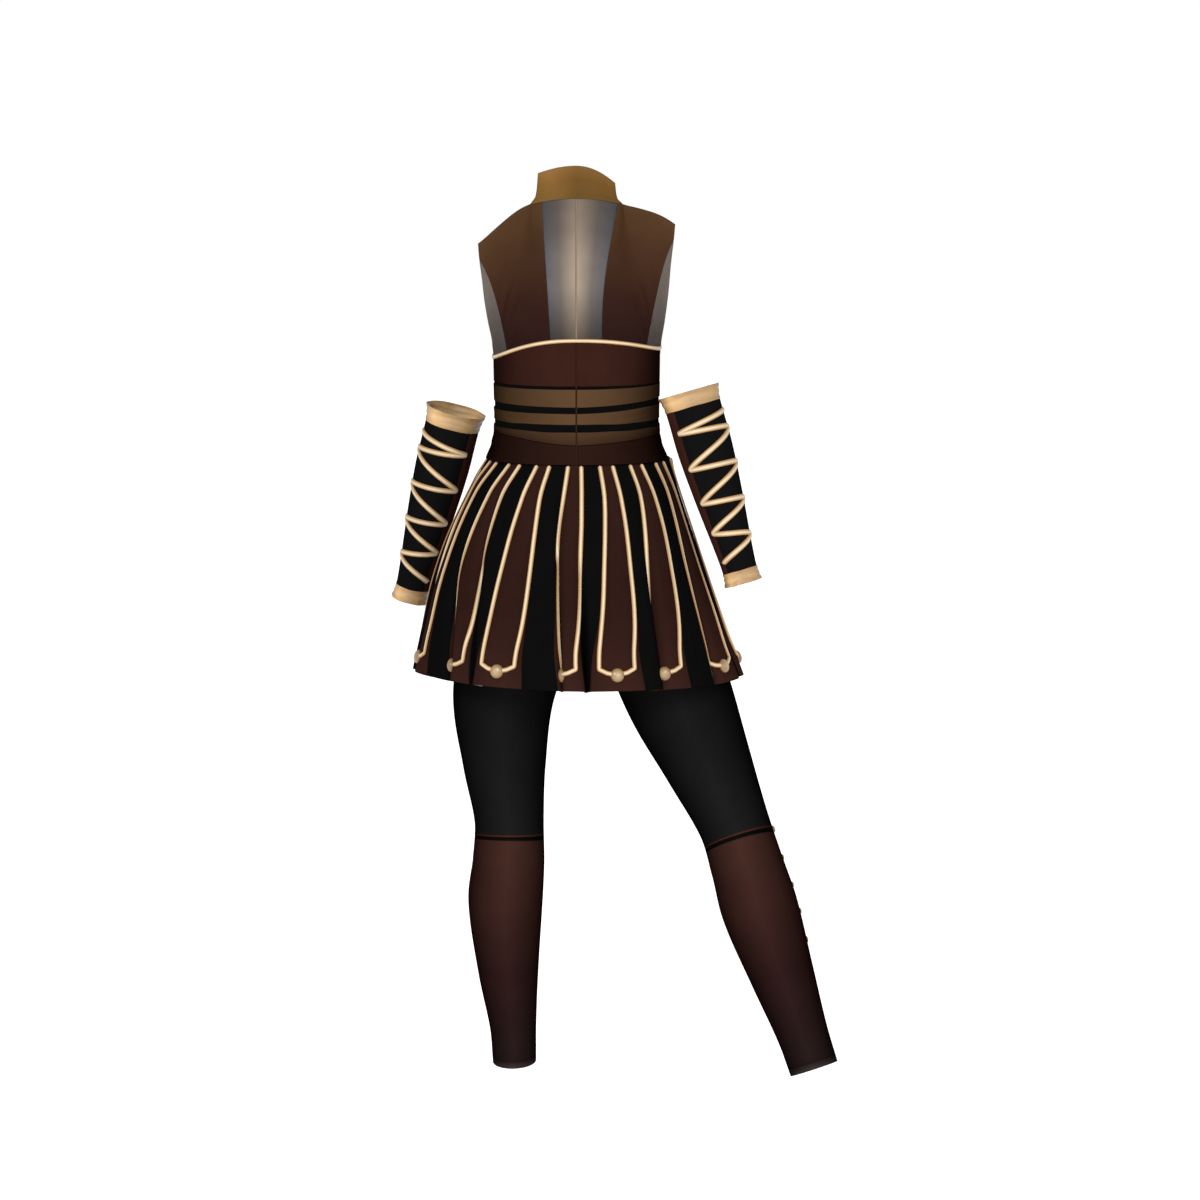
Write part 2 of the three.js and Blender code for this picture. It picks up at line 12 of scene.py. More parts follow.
import bmesh
import bpy
import numpy as np
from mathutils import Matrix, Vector


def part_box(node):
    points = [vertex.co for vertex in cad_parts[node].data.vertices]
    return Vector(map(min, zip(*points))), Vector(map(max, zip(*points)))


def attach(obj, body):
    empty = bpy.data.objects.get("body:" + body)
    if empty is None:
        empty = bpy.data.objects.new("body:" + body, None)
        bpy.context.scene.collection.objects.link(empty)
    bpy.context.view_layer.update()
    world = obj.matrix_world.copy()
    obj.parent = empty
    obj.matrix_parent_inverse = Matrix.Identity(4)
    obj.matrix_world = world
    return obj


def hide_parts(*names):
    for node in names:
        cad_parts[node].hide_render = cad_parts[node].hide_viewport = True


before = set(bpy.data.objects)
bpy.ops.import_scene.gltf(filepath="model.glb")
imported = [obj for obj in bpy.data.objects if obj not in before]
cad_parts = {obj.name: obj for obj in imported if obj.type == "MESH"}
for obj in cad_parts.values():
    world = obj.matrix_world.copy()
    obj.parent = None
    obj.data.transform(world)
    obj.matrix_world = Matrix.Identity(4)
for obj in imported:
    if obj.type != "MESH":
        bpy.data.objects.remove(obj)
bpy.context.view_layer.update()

log = logging.getLogger("uniform")
Array = np.ndarray
Surface = Callable[[Array, Array], Array]
Path = Callable[[Array], tuple[Array, Array]]
Curve = Callable[[Array], Array]
Colour = tuple[float, float, float]
Stops = Sequence[tuple[float, Colour]]
Rows = Sequence[Sequence[float]]

MM = 0.001
CLOTH = 1.6  # thickness of the cloth shells of the frame
LEAST_AREA = 0.31  # a cut's smallest share of its width times its length
SQUARENESS = 2.3  # exponent of the torso's superellipse, 2 is an ellipse
CLOTH_SHARE = 0.42  # reflectance of a cloth over the brightness that it shows in the studio
FLECK, CLOUD = 0.34, 0.3  # spread of brightness from yarn to yarn and over a hand's breadth
FLECK_SCALE, CLOUD_SCALE = 1400.0, 22.0  # cells per metre of cloth of those two
WHITE = (1.0, 1.0, 1.0, 1.0)


# ---------------------------------------------------------------- numbers and curves


def smooth_rows(rows: Rows) -> Curve:
    """Smooth interpolation through rows of a rising key and its values.

    Each stretch is a cubic whose slope at a row is the chord between the rows beside it.

    Args:
        rows: key first, then any number of values.

    Returns:
        A function from an array of keys to the values, with one more axis.
    """
    table = np.asarray(rows, dtype=float)
    keys, values = table[:, 0], table[:, 1:]
    before = np.maximum(np.arange(len(keys)) - 1, 0)
    after = np.minimum(np.arange(len(keys)) + 1, len(keys) - 1)
    slopes = (values[after] - values[before]) / (keys[after] - keys[before])[:, None]

    def at(key: Array) -> Array:
        """Values at the given keys.

        Args:
            key: keys to look up.

        Returns:
            Values, with one more axis.
        """
        key = np.asarray(key, dtype=float)
        low = np.clip(np.searchsorted(keys, key, side="right") - 1, 0, len(keys) - 2)
        span = keys[low + 1] - keys[low]
        t = ((key - keys[low]) / span)[..., None]
        rise = t * t * (3 - 2 * t)
        bend = (1 - t) * slopes[low] - t * slopes[low + 1]
        return values[low] * (1 - rise) + values[low + 1] * rise + span[..., None] * t * (1 - t) * bend

    return at


def mix(low: Array, high: Array, share: Array) -> Array:
    """Straight blend from low to high."""
    return low + (high - low) * share


def step(value: Array, low: float, high: float) -> Array:
    """Smooth step from 0 at low to 1 at high."""
    t = np.clip((value - low) / (high - low), 0, 1)
    return t * t * (3 - 2 * t)


def power(value: Array, exponent: float) -> Array:
    """Power that keeps the sign."""
    return np.sign(value) * np.abs(value) ** exponent


def points(x: Array, y: Array, z: Array) -> Array:
    """Stacks three coordinates, each stretched to the same shape, as points."""
    return np.stack(np.broadcast_arrays(x, y, z), axis=-1).astype(float)


def unit(vectors: Array) -> Array:
    """Vectors at length 1."""
    return vectors / np.maximum(np.linalg.norm(vectors, axis=-1, keepdims=True), 1e-9)


@dataclass(frozen=True)
class Crease:
    """Fold of cloth along a straight line in a surface's own shares of u and v.

    Attributes:
        start: end of the line where the fold begins.
        end: end of the line where it dies out.
        depth: outward height in millimetres, negative for a groove.
        width: half width in millimetres.
    """

    start: tuple[float, float]
    end: tuple[float, float]
    depth: float
    width: float

    def height(self, u: Array, v: Array, size: tuple[float, float]) -> Array:
        """Outward height of the fold.

        The height is a bell across the line, and a half sine wave along it.

        Args:
            u: share across the surface.
            v: share along it.
            size: width and length of the surface in millimetres.

        Returns:
            Height in millimetres.
        """
        start = np.array(self.start) * size
        run = np.array(self.end) * size - start
        length = np.hypot(*run)
        du, dv = u * size[0] - start[0], v * size[1] - start[1]
        along = (du * run[0] + dv * run[1]) / length**2
        across = (du * run[1] - dv * run[0]) / length
        taper = np.sin(np.pi * np.clip(along, 0, 1)) ** 0.7
        return self.depth * taper * np.exp(-((across / self.width) ** 2))


def outward(surface: Surface, u: Array, v: Array) -> Array:
    """Direction square to a surface, from the cross product of its two slopes.

    Args:
        surface: the surface.
        u: share across, once round on a ring.
        v: share along.

    Returns:
        Unit vectors.
    """
    small = 1e-3
    along_u = surface(u + small, v) - surface(u - small, v)
    along_v = surface(u, v + small) - surface(u, v - small)
    return unit(np.cross(along_u, along_v))


def creased(surface: Surface, size: tuple[float, float], creases: Sequence[Crease]) -> Surface:
    """Surface with folds raised on it.

    Args:
        surface: surface to start from.
        size: its width and length in millimetres.
        creases: the folds.

    Returns:
        A surface moved along its outward direction by the sum of the folds.
    """

    def folded(u: Array, v: Array) -> Array:
        """Point of the folded surface."""
        height = sum(crease.height(u, v, size) for crease in creases)
        return surface(u, v) + outward(surface, u, v) * np.asarray(height)[..., None]

    return folded


def patch(surface: Surface, u0: float, u1: float, v0: float, v1: float) -> Surface:
    """Part of a surface: shares from 0 to 1 cover the given ranges."""
    return lambda u, v: surface(mix(u0, u1, u), mix(v0, v1, v))


# ---------------------------------------------------------------- finishes


class Shade(Enum):
    """What a cloth's colour ramp follows."""

    ACROSS = "u"
    ALONG = "v"


def linear(red: int, green: int, blue: int) -> Colour:
    """Scene-linear reflectance of a cloth that shows these 0 to 255 screen values when lit.

    Args:
        red: screen value of red.
        green: screen value of green.
        blue: screen value of blue.

    Returns:
        The colour.
    """
    parts = [value / 255 for value in (red, green, blue)]
    lit = [p / 12.92 if p <= 0.04045 else ((p + 0.055) / 1.055) ** 2.4 for p in parts]
    return tuple(p * CLOTH_SHARE for p in lit)


class Nodes:
    """Small helper that adds and links the nodes of one material."""

    def __init__(self, name: str) -> None:
        """Starts an empty material of that name with one shader.

        Args:
            name: name of the material.
        """
        self.material = bpy.data.materials.new(name)
        self.material.use_nodes = True
        self.tree = self.material.node_tree
        self.shader = self.tree.nodes["Principled BSDF"]

    def add(self, kind: str, **settings: object) -> bpy.types.Node:
        """Adds a node and sets its properties or inputs.

        Args:
            kind: type name without its ShaderNode prefix.
            settings: properties, or inputs with spaces written as underscores.

        Returns:
            The node.
        """
        node = self.tree.nodes.new("ShaderNode" + kind)
        for key, value in settings.items():
            if hasattr(node, key):
                setattr(node, key, value)
            else:
                node.inputs[key.replace("_", " ")].default_value = value
        return node

    def link(self, source: bpy.types.NodeSocket, target: bpy.types.NodeSocket) -> None:
        """Links two sockets."""
        self.tree.links.new(source, target)

    def ramp(self, factor: bpy.types.NodeSocket, stops: Stops) -> bpy.types.NodeSocket:
        """Colour ramp through the given stops.

        Args:
            factor: socket that drives the ramp.
            stops: place and colour of each stop.

        Returns:
            The ramp's colour socket.
        """
        node = self.add("ValToRGB")
        elements = node.color_ramp.elements
        while len(elements) < len(stops):
            elements.new(0.5)
        for element, (place, colour) in zip(elements, stops):
            element.position = place
            element.color = (*colour, 1)
        self.link(factor, node.inputs["Fac"])
        return node.outputs["Color"]

    def maths(self, operation: str, *values: object) -> bpy.types.NodeSocket:
        """Math node on sockets or numbers.

        Args:
            operation: name of the operation.
            values: sockets or numbers.

        Returns:
            The result's socket.
        """
        node = self.add("Math", operation=operation)
        for socket, value in zip(node.inputs, values):
            if isinstance(value, bpy.types.NodeSocket):
                self.link(value, socket)
            else:
                socket.default_value = value
        return node.outputs["Value"]


@dataclass(frozen=True)
class Cloth:
    """Printed stretch knit, its colour times a brightness fade that paints shade and highlights on some
    finishes.

    Attributes:
        name: name of the finish.
        slot: material slot of the record.
        stops: colour stops along the shade's direction.
        shade: what the colour ramp follows.
        fade: brightness at even steps along the other direction; painted shade on the rings and the torso,
            and painted highlights on the cuffs.
        roughness: roughness of the knit.
        rib: distance between two ribs of the knit in millimetres.
        relief: strength of the knit's bump.
        alpha: how much of the light the cloth stops.
        gloss: level of the mirror-like reflection.
    """

    name: str
    slot: str
    stops: Stops
    shade: Shade = Shade.ALONG
    fade: tuple[float, ...] = (1.0, 1.0)
    roughness: float = 0.55
    rib: float = 0.9
    relief: float = 0.22
    alpha: float = 1.0
    gloss: float = 0.0

    def material(self) -> bpy.types.Material:
        """Material of this finish, made once.

        Returns:
            The material.
        """
        if self.name in bpy.data.materials:
            return bpy.data.materials[self.name]
        nodes = Nodes(self.name)
        yarn = nodes.add("UVMap", uv_map="cloth").outputs["UV"]
        colour = self._colour(nodes, yarn)
        nodes.link(colour, nodes.shader.inputs["Base Color"])
        nodes.link(self._relief(nodes, yarn), nodes.shader.inputs["Normal"])
        nodes.shader.inputs["Roughness"].default_value = self.roughness
        nodes.shader.inputs["Alpha"].default_value = self.alpha
        nodes.shader.inputs["Specular IOR Level"].default_value = self.gloss
        return nodes.material

    def _colour(self, nodes: Nodes, yarn: bpy.types.NodeSocket) -> bpy.types.NodeSocket:
        """Two crossed ramps, the print's colour and a fade that paints shade and highlights on some finishes,
        broken up by a fleck of the yarn and a broad unevenness of the print.

        Args:
            nodes: helper of the material.
            yarn: socket of the cloth coordinates.

        Returns:
            Socket of the colour.
        """
        place = nodes.add("SeparateXYZ")
        nodes.link(nodes.add("UVMap", uv_map="share").outputs["UV"], place.inputs[0])
        axis, other = ("X", "Y") if self.shade is Shade.ACROSS else ("Y", "X")
        ramp = nodes.ramp(place.outputs[axis], self.stops)
        # Painted light: this second ramp darkens or brightens the print's colour as painted shade and painted
        # highlights.
        fade = nodes.ramp(place.outputs[other], even(*((level, level, level) for level in self.fade)))
        fleck = nodes.add("TexNoise", Scale=FLECK_SCALE, Detail=1.0)
        broad = nodes.add("TexNoise", Scale=CLOUD_SCALE, Detail=3.0)
        nodes.link(yarn, fleck.inputs["Vector"])
        nodes.link(yarn, broad.inputs["Vector"])
        speck = nodes.maths("MULTIPLY_ADD", fleck.outputs["Fac"], FLECK, 1 - FLECK / 2)
        cloud = nodes.maths("MULTIPLY_ADD", broad.outputs["Fac"], CLOUD, 1 - CLOUD / 2)
        both = nodes.maths("MULTIPLY", nodes.maths("MULTIPLY", speck, cloud), fade)
        toned = nodes.add("VectorMath", operation="SCALE")
        nodes.link(ramp, toned.inputs[0])
        nodes.link(both, toned.inputs["Scale"])
        return toned.outputs[0]

    def _relief(self, nodes: Nodes, yarn: bpy.types.NodeSocket) -> bpy.types.NodeSocket:
        """Bump of the knit: two crossed sets of ribs.

        Args:
            nodes: helper of the material.
            yarn: socket of the cloth coordinates.

        Returns:
            Socket of the bumped normal.
        """
        rib = self.rib * MM
        ribs = []
        for direction in ("X", "Y"):
            wave = nodes.add("TexWave", bands_direction=direction, Scale=math.pi / 10 / rib, Distortion=0.6)
            nodes.link(yarn, wave.inputs["Vector"])
            ribs.append(wave.outputs["Fac"])
        height = nodes.maths("MULTIPLY", *ribs)
        knit = nodes.add("Bump", Strength=self.relief, Distance=0.0003)
        nodes.link(height, knit.inputs["Height"])
        return knit.outputs["Normal"]


BLACK = linear(15, 15, 15)


def even(*colours: Colour) -> Stops:
    """Stops of a colour ramp at even distances from 0 to 1."""
    return tuple((k / (len(colours) - 1), colour) for k, colour in enumerate(colours))


BODICE, BAND, STRAP = linear(60, 33, 27), linear(48, 28, 23), linear(98, 72, 49)
STRIP, SLEEVE = linear(66, 36, 28), linear(21, 21, 22)
# Gold of the cords: painted shade for the flanks, plain gold, and a painted highlight for the crest.
GOLD_FLANK_SHADE, GOLD, GOLD_CREST_HIGHLIGHT = linear(150, 102, 52), linear(206, 160, 100), linear(255, 238, 205)
MESH_EDGE, MESH, MESH_CORE = linear(100, 100, 106), linear(124, 114, 108), linear(182, 162, 142)
# Painted shade round a ring: dark at both sides, full brightness at the middle of the back and of the front.
PAINTED_SIDE_SHADE = (0.05, 0.55, 1.0, 0.55, 0.05, 0.55, 1.0, 0.55, 0.05)  # a ring's cloth is darker at both sides
GLOW = (0.3, 0.65, 1.05, 1.0, 0.75, 0.65)  # the mesh is brightest at mid height

FINISHES = {finish.name: finish for finish in (
    # Painted shade: the torso under the piping darkens towards both side seams.
    Cloth("bodice_wine", "wine_cloth", even(BODICE, BODICE),
          fade=(0.15, 0.4, 0.85, 1.0, 1.0, 0.85, 0.35, 0.06)),
    Cloth("waistband_wine", "wine_cloth", even(BAND, BAND), fade=PAINTED_SIDE_SHADE),
    Cloth("tab_wine", "wine_cloth", (
        (0.0, linear(62, 37, 31)), (0.35, linear(50, 29, 24)), (1.0, linear(52, 31, 26))),
        fade=(0.8, 1.0, 1.0, 0.8)),
    Cloth("boot_wine", "wine_cloth", (
        (0.0, linear(74, 46, 39)), (0.25, linear(68, 41, 36)), (0.6, linear(50, 30, 28)),
        (1.0, linear(42, 30, 30))), fade=PAINTED_SIDE_SHADE),
    Cloth("hem_wine", "wine_cloth", even(linear(36, 24, 24), linear(70, 60, 60)), fade=PAINTED_SIDE_SHADE),
    Cloth("olive_back", "olive_cloth", (
        (0.0, linear(46, 28, 26)), (0.35, linear(58, 35, 28)), (0.7, linear(78, 52, 36)),
        (1.0, linear(98, 70, 46)))),
    Cloth("strap_olive", "strap_cloth", even(STRAP, STRAP), fade=PAINTED_SIDE_SHADE),
    Cloth("strap_dim", "strap_cloth", even(linear(66, 45, 32), linear(84, 60, 42)), fade=PAINTED_SIDE_SHADE),
    Cloth("black_knit", "black_cloth", even(BLACK, BLACK)),
    Cloth("thigh_knit", "black_cloth", even(linear(26, 26, 26), linear(32, 32, 32)), fade=PAINTED_SIDE_SHADE),
    Cloth("knee_line", "black_cloth", (
        (0.0, linear(80, 42, 32)), (0.3, linear(80, 42, 32)), (0.34, BLACK), (1.0, BLACK)), fade=PAINTED_SIDE_SHADE),
    Cloth("sleeve_left", "black_cloth", (
        (0.0, SLEEVE), (0.455, SLEEVE), (0.46, STRIP), (0.622, STRIP), (0.627, SLEEVE)), Shade.ACROSS),
    Cloth("sleeve_right", "black_cloth", (
        (0.0, STRIP), (0.04, STRIP), (0.045, SLEEVE), (0.872, SLEEVE), (0.877, STRIP)), Shade.ACROSS),
    Cloth("bronze_knit", "bronze_cloth", (
        (0.0, linear(124, 92, 48)), (0.6, linear(130, 94, 48)), (1.0, linear(144, 106, 58))),
        fade=(1.5, 1.3, 0.8, 0.95, 1.3, 1.2, 1.2, 1.2, 1.5)),
    # Cuff gold: the fade paints two highlight bands round each cuff and shade between them.
    Cloth("gold_knit", "gold_cloth",
          even(linear(190, 150, 100), linear(215, 176, 124), linear(192, 152, 100)),
          fade=(0.7, 1.0, 0.9, 1.5, 0.7, 1.0, 0.9, 1.6, 0.7), roughness=0.42, rib=1.6, relief=0.5, gloss=0.3),
    # Painted highlight along the cord's crest and painted shade on its flanks, across the section.
    Cloth("gold_cord", "gold_trim", (
        (0.5, GOLD_FLANK_SHADE), (0.64, GOLD), (0.75, GOLD_CREST_HIGHLIGHT), (0.86, GOLD), (1.0, GOLD_FLANK_SHADE)), Shade.ACROSS,
          roughness=0.4, rib=0.8, relief=0.3, gloss=0.3),
    # Painted shade at the stud's foot, rising to a painted highlight on its top.
    Cloth("gold_stud", "gold_trim", (
        (0.0, linear(130, 94, 54)), (0.6, linear(176, 138, 92)), (1.0, linear(214, 184, 136))),
        roughness=0.35, relief=0.05, gloss=0.5),
    Cloth("sheer_back_left", "sheer_mesh", even(MESH_EDGE, MESH, MESH_CORE), Shade.ACROSS, GLOW,
          roughness=0.6, rib=1.3, relief=0.6, alpha=0.9),
    Cloth("sheer_back_right", "sheer_mesh", even(MESH_CORE, MESH, MESH_EDGE), Shade.ACROSS, GLOW,
          roughness=0.6, rib=1.3, relief=0.6, alpha=0.9),
    Cloth("sheer_side", "sheer_mesh", even(linear(84, 77, 75), linear(128, 117, 110)),
          roughness=0.6, rib=1.3, relief=0.6, alpha=0.9),
    Cloth("seam_dark", "wine_cloth", even(linear(54, 34, 26), linear(54, 34, 26))),
    Cloth("seam_mesh", "sheer_mesh", even(linear(160, 144, 130), linear(160, 144, 130)), fade=GLOW),
    Cloth("white_reverse", "white_reverse", even(linear(250, 248, 246), linear(250, 248, 246)),
          roughness=0.75, relief=0.15),
)}


# ---------------------------------------------------------------- meshes


def lattice(surface: Surface, columns: int, rows: int) -> Array:
    """Points of a surface on an even grid of shares, rows by columns."""
    u, v = np.meshgrid(np.linspace(0, 1, columns + 1), np.linspace(0, 1, rows + 1))
    return surface(u, v)


def arc_lengths(grid: Array) -> tuple[Array, Array]:
    """Cloth coordinates of a grid of points.

    Args:
        grid: points, rows by columns.

    Returns:
        Length run along each row and along each column, in the grid's own unit.
    """
    across = np.linalg.norm(np.diff(grid, axis=1), axis=-1)
    along = np.linalg.norm(np.diff(grid, axis=0), axis=-1)
    run_u = np.concatenate([np.zeros((grid.shape[0], 1)), np.cumsum(across, axis=1)], axis=1)
    run_v = np.concatenate([np.zeros((1, grid.shape[1])), np.cumsum(along, axis=0)], axis=0)
    return run_u, run_v


def grid_object(name: str, grid: Array, ring: bool) -> bpy.types.Object:
    """Mesh object on a grid of points in millimetres, with its cloth and share UV maps.

    Args:
        name: name of the object.
        grid: points, rows by columns; a ring repeats its first column at the end.
        ring: whether the last column is sewn to the first.

    Returns:
        The linked object, its mesh in metres.
    """
    rows, columns = grid.shape[0] - 1, grid.shape[1] - 1
    kept = columns if ring else columns + 1
    vertices = grid[:, :kept].reshape(-1, 3) * MM
    i, j = np.meshgrid(np.arange(columns), np.arange(rows))
    i, j = i.ravel(), j.ravel()
    corners_i = np.stack([i, i + 1, i + 1, i], axis=1)
    corners_j = np.stack([j, j, j + 1, j + 1], axis=1)
    faces = corners_j * kept + corners_i % kept
    mesh = bpy.data.meshes.new(name)
    mesh.vertices.add(len(vertices))
    mesh.vertices.foreach_set("co", vertices.ravel())
    mesh.loops.add(faces.size)
    mesh.loops.foreach_set("vertex_index", faces.ravel())
    mesh.polygons.add(len(faces))
    mesh.polygons.foreach_set("loop_start", np.arange(0, faces.size, 4))
    mesh.polygons.foreach_set("use_smooth", np.ones(len(faces), dtype=bool))
    run_u, run_v = arc_lengths(grid)
    cloth = np.stack([run_u, run_v], axis=-1)[corners_j, corners_i] * MM
    share = np.stack([corners_i / columns, corners_j / rows], axis=-1)
    for layer, values in (("cloth", cloth), ("share", share)):
        mesh.uv_layers.new(name=layer).data.foreach_set("uv", values.ravel())
    mesh.update(calc_edges=True)
    weld(mesh)
    made = bpy.data.objects.new(name, mesh)
    bpy.context.scene.collection.objects.link(made)
    return made


def weld(mesh: bpy.types.Mesh) -> None:
    """Joins the vertices that lie on one another, such as a pole or the two ends of a closed cord.

    Args:
        mesh: the mesh.
    """
    edit = bmesh.new()
    edit.from_mesh(mesh)
    bmesh.ops.remove_doubles(edit, verts=edit.verts, dist=1e-7)
    edit.to_mesh(mesh)
    edit.free()


def settle(made: bpy.types.Object, body: str, slot: str, stands_for: Sequence[str]) -> None:
    """Ties a piece to its body, and hides the frame nodes it stands for.

    Args:
        made: the piece.
        body: body that it rides on.
        slot: material slot of the record; not used.
        stands_for: frame nodes that it replaces.
    """
    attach(made, body)
    if stands_for:
        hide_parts(*stands_for)


@dataclass
class ClothPiece:
    """One cut of cloth, worn in shape.

    Attributes:
        name: name of the piece.
        surface: outer face as a function of shares u and v, in millimetres.
        finish: key of its finish.
        body: body that it rides on.
        stands_for: frame nodes that it replaces.
        columns: grid steps across.
        rows: grid steps along.
        ring: whether it closes on itself in u.
        lift: how far the outer face stands over the surface.
        thickness: thickness of the cloth, measured inwards.
        held: how the cloth is held; not used.
        creases: folds raised on it.
        reverse: key of the finish on the inside.
    """

    name: str
    surface: Surface
    finish: str
    body: str
    stands_for: Sequence[str] = ()
    columns: int = 48
    rows: int = 48
    ring: bool = False
    lift: float = CLOTH
    thickness: float = 1.0
    held: str = "stretched"
    creases: Sequence[Crease] = ()
    reverse: str = "white_reverse"

    def build(self) -> bpy.types.Object:
        """Returns:
            The finished object.
        """
        flat = lattice(self.surface, self.columns, self.rows)
        run_u, run_v = arc_lengths(flat)
        size = (float(run_u[:, -1].mean()), float(run_v[-1].mean()))
        surface = creased(self.surface, size, self.creases) if self.creases else self.surface
        u, v = np.meshgrid(np.linspace(0, 1, self.columns + 1), np.linspace(0, 1, self.rows + 1))
        if self.ring:
            u = u % 1.0
        grid = surface(u, v) + outward(surface, u, v) * self.lift
        made = grid_object(self.name, grid, self.ring)
        for key in (self.finish, self.reverse):
            made.data.materials.append(FINISHES[key].material())
        wall = made.modifiers.new("cloth_thickness", "SOLIDIFY")
        wall.thickness = self.thickness * MM
        wall.offset = -1
        wall.material_offset = 1
        settle(made, self.body, FINISHES[self.finish].slot, self.stands_for)
        across, along = np.diff(flat, axis=1)[:-1], np.diff(flat, axis=0)[:, :-1]
        area = float(np.linalg.norm(np.cross(across, along), axis=-1).sum()) * MM**2
        width, length = size[0] * MM, size[1] * MM
        area = float(np.clip(area, LEAST_AREA * width * length, width * length))
        return made


@dataclass
class Cord:
    """Sewn cord of half-round section along a path.

    Attributes:
        name: name of the piece.
        path: points and outward directions along the path, from an array of shares.
        body: body that it rides on.
        stands_for: frame nodes that it replaces.
        width: full width in millimetres.
        rise: height over the cloth in millimetres.
        steps: number of steps along the path.
        closed: whether the path closes on itself.
        finish: key of its finish.
        sunk: depth of its foot in the cloth.
    """

    name: str
    path: Path
    body: str
    stands_for: Sequence[str] = ()
    width: float = 6.0
    rise: float = 2.0
    steps: int = 200
    closed: bool = False
    finish: str = "gold_cord"
    sunk: float = 0.4

    def build(self) -> bpy.types.Object:
        """Carries the section along the path and closes both ends.

        The section is half an ellipse over a flat foot; its width lies square to the path and to
        the outward direction, and it narrows to nothing over the last step at an open end.

        Returns:
            The finished object.
        """
        share = np.linspace(0, 1, self.steps + 1)
        place, normal = self.path(share)
        run = np.gradient(place, axis=0)
        if self.closed:
            run[0] = run[-1] = place[1] - place[-2]
        across = unit(np.cross(normal, unit(run)))
        turn = np.linspace(0, 2 * np.pi, 17)
        side = np.cos(turn) * self.width / 2
        height = np.sin(turn) * np.where(np.sin(turn) > 0, self.rise, self.sunk)
        ends = np.ones_like(share)
        if not self.closed:
            ends[[0, -1]] = 0.0
        offset = side[:, None, None] * across[None] + height[:, None, None] * normal[None]
        grid = place[None] + offset * ends[None, :, None]
        grid = np.swapaxes(grid[::-1], 0, 1)
        made = grid_object(self.name, grid, True)
        # With gold_cord the colour across the section is a painted highlight on the crest and painted shade
        # on the flanks.
        made.data.materials.append(FINISHES[self.finish].material())
        settle(made, self.body, FINISHES[self.finish].slot, self.stands_for)
        return made


@dataclass
class Stud:
    """Domed stud sewn on the cloth.

    Attributes:
        name: name of the piece.
        centre: point of the cloth under its middle, in millimetres.
        normal: outward direction there.
        body: body that it rides on.
        radius: radius in millimetres.
        rise: height of the dome.
    """

    name: str
    centre: Array
    normal: Array
    body: str
    radius: float = 11.0
    rise: float = 7.0

    def build(self) -> bpy.types.Object:
        """Turns the dome's profile, a quarter ellipse with a turned-in foot, round its axis.

        Returns:
            The finished object.
        """
        first = unit(np.cross(self.normal, np.array([0.0, 0.0, 1.0])))
        second = np.cross(self.normal, first)
        turn = np.linspace(0, 2 * np.pi, 41)
        climb = np.linspace(-0.25, 1.0, 16) * np.pi / 2
        ring = np.cos(turn)[None, :, None] * first + np.sin(turn)[None, :, None] * second
        grid = self.centre + self.radius * np.cos(climb)[:, None, None] * ring
        grid = grid + (self.rise * np.sin(climb)[:, None, None]) * self.normal
        made = grid_object(self.name, grid[:, ::-1], True)
        # gold_stud paints shade at the dome's foot and a highlight at its top, along the share up the
        # profile.
        made.data.materials.append(FINISHES["gold_stud"].material())
        settle(made, self.body, "gold_trim", ())
        return made


def node_span(node: str, axis: int = 2) -> tuple[float, float]:
    """Lowest and highest place of a frame node along an axis, in millimetres."""
    low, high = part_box(node)
    return low[axis] / MM, high[axis] / MM


# ---------------------------------------------------------------- dress


class Side(Enum):
    """Side of the wearer; the value is the sign of X there."""

    LEFT = 1
    RIGHT = -1

    @property
    def word(self) -> str:
        """Name of the side as the frame's nodes write it."""
        return self.name.lower()


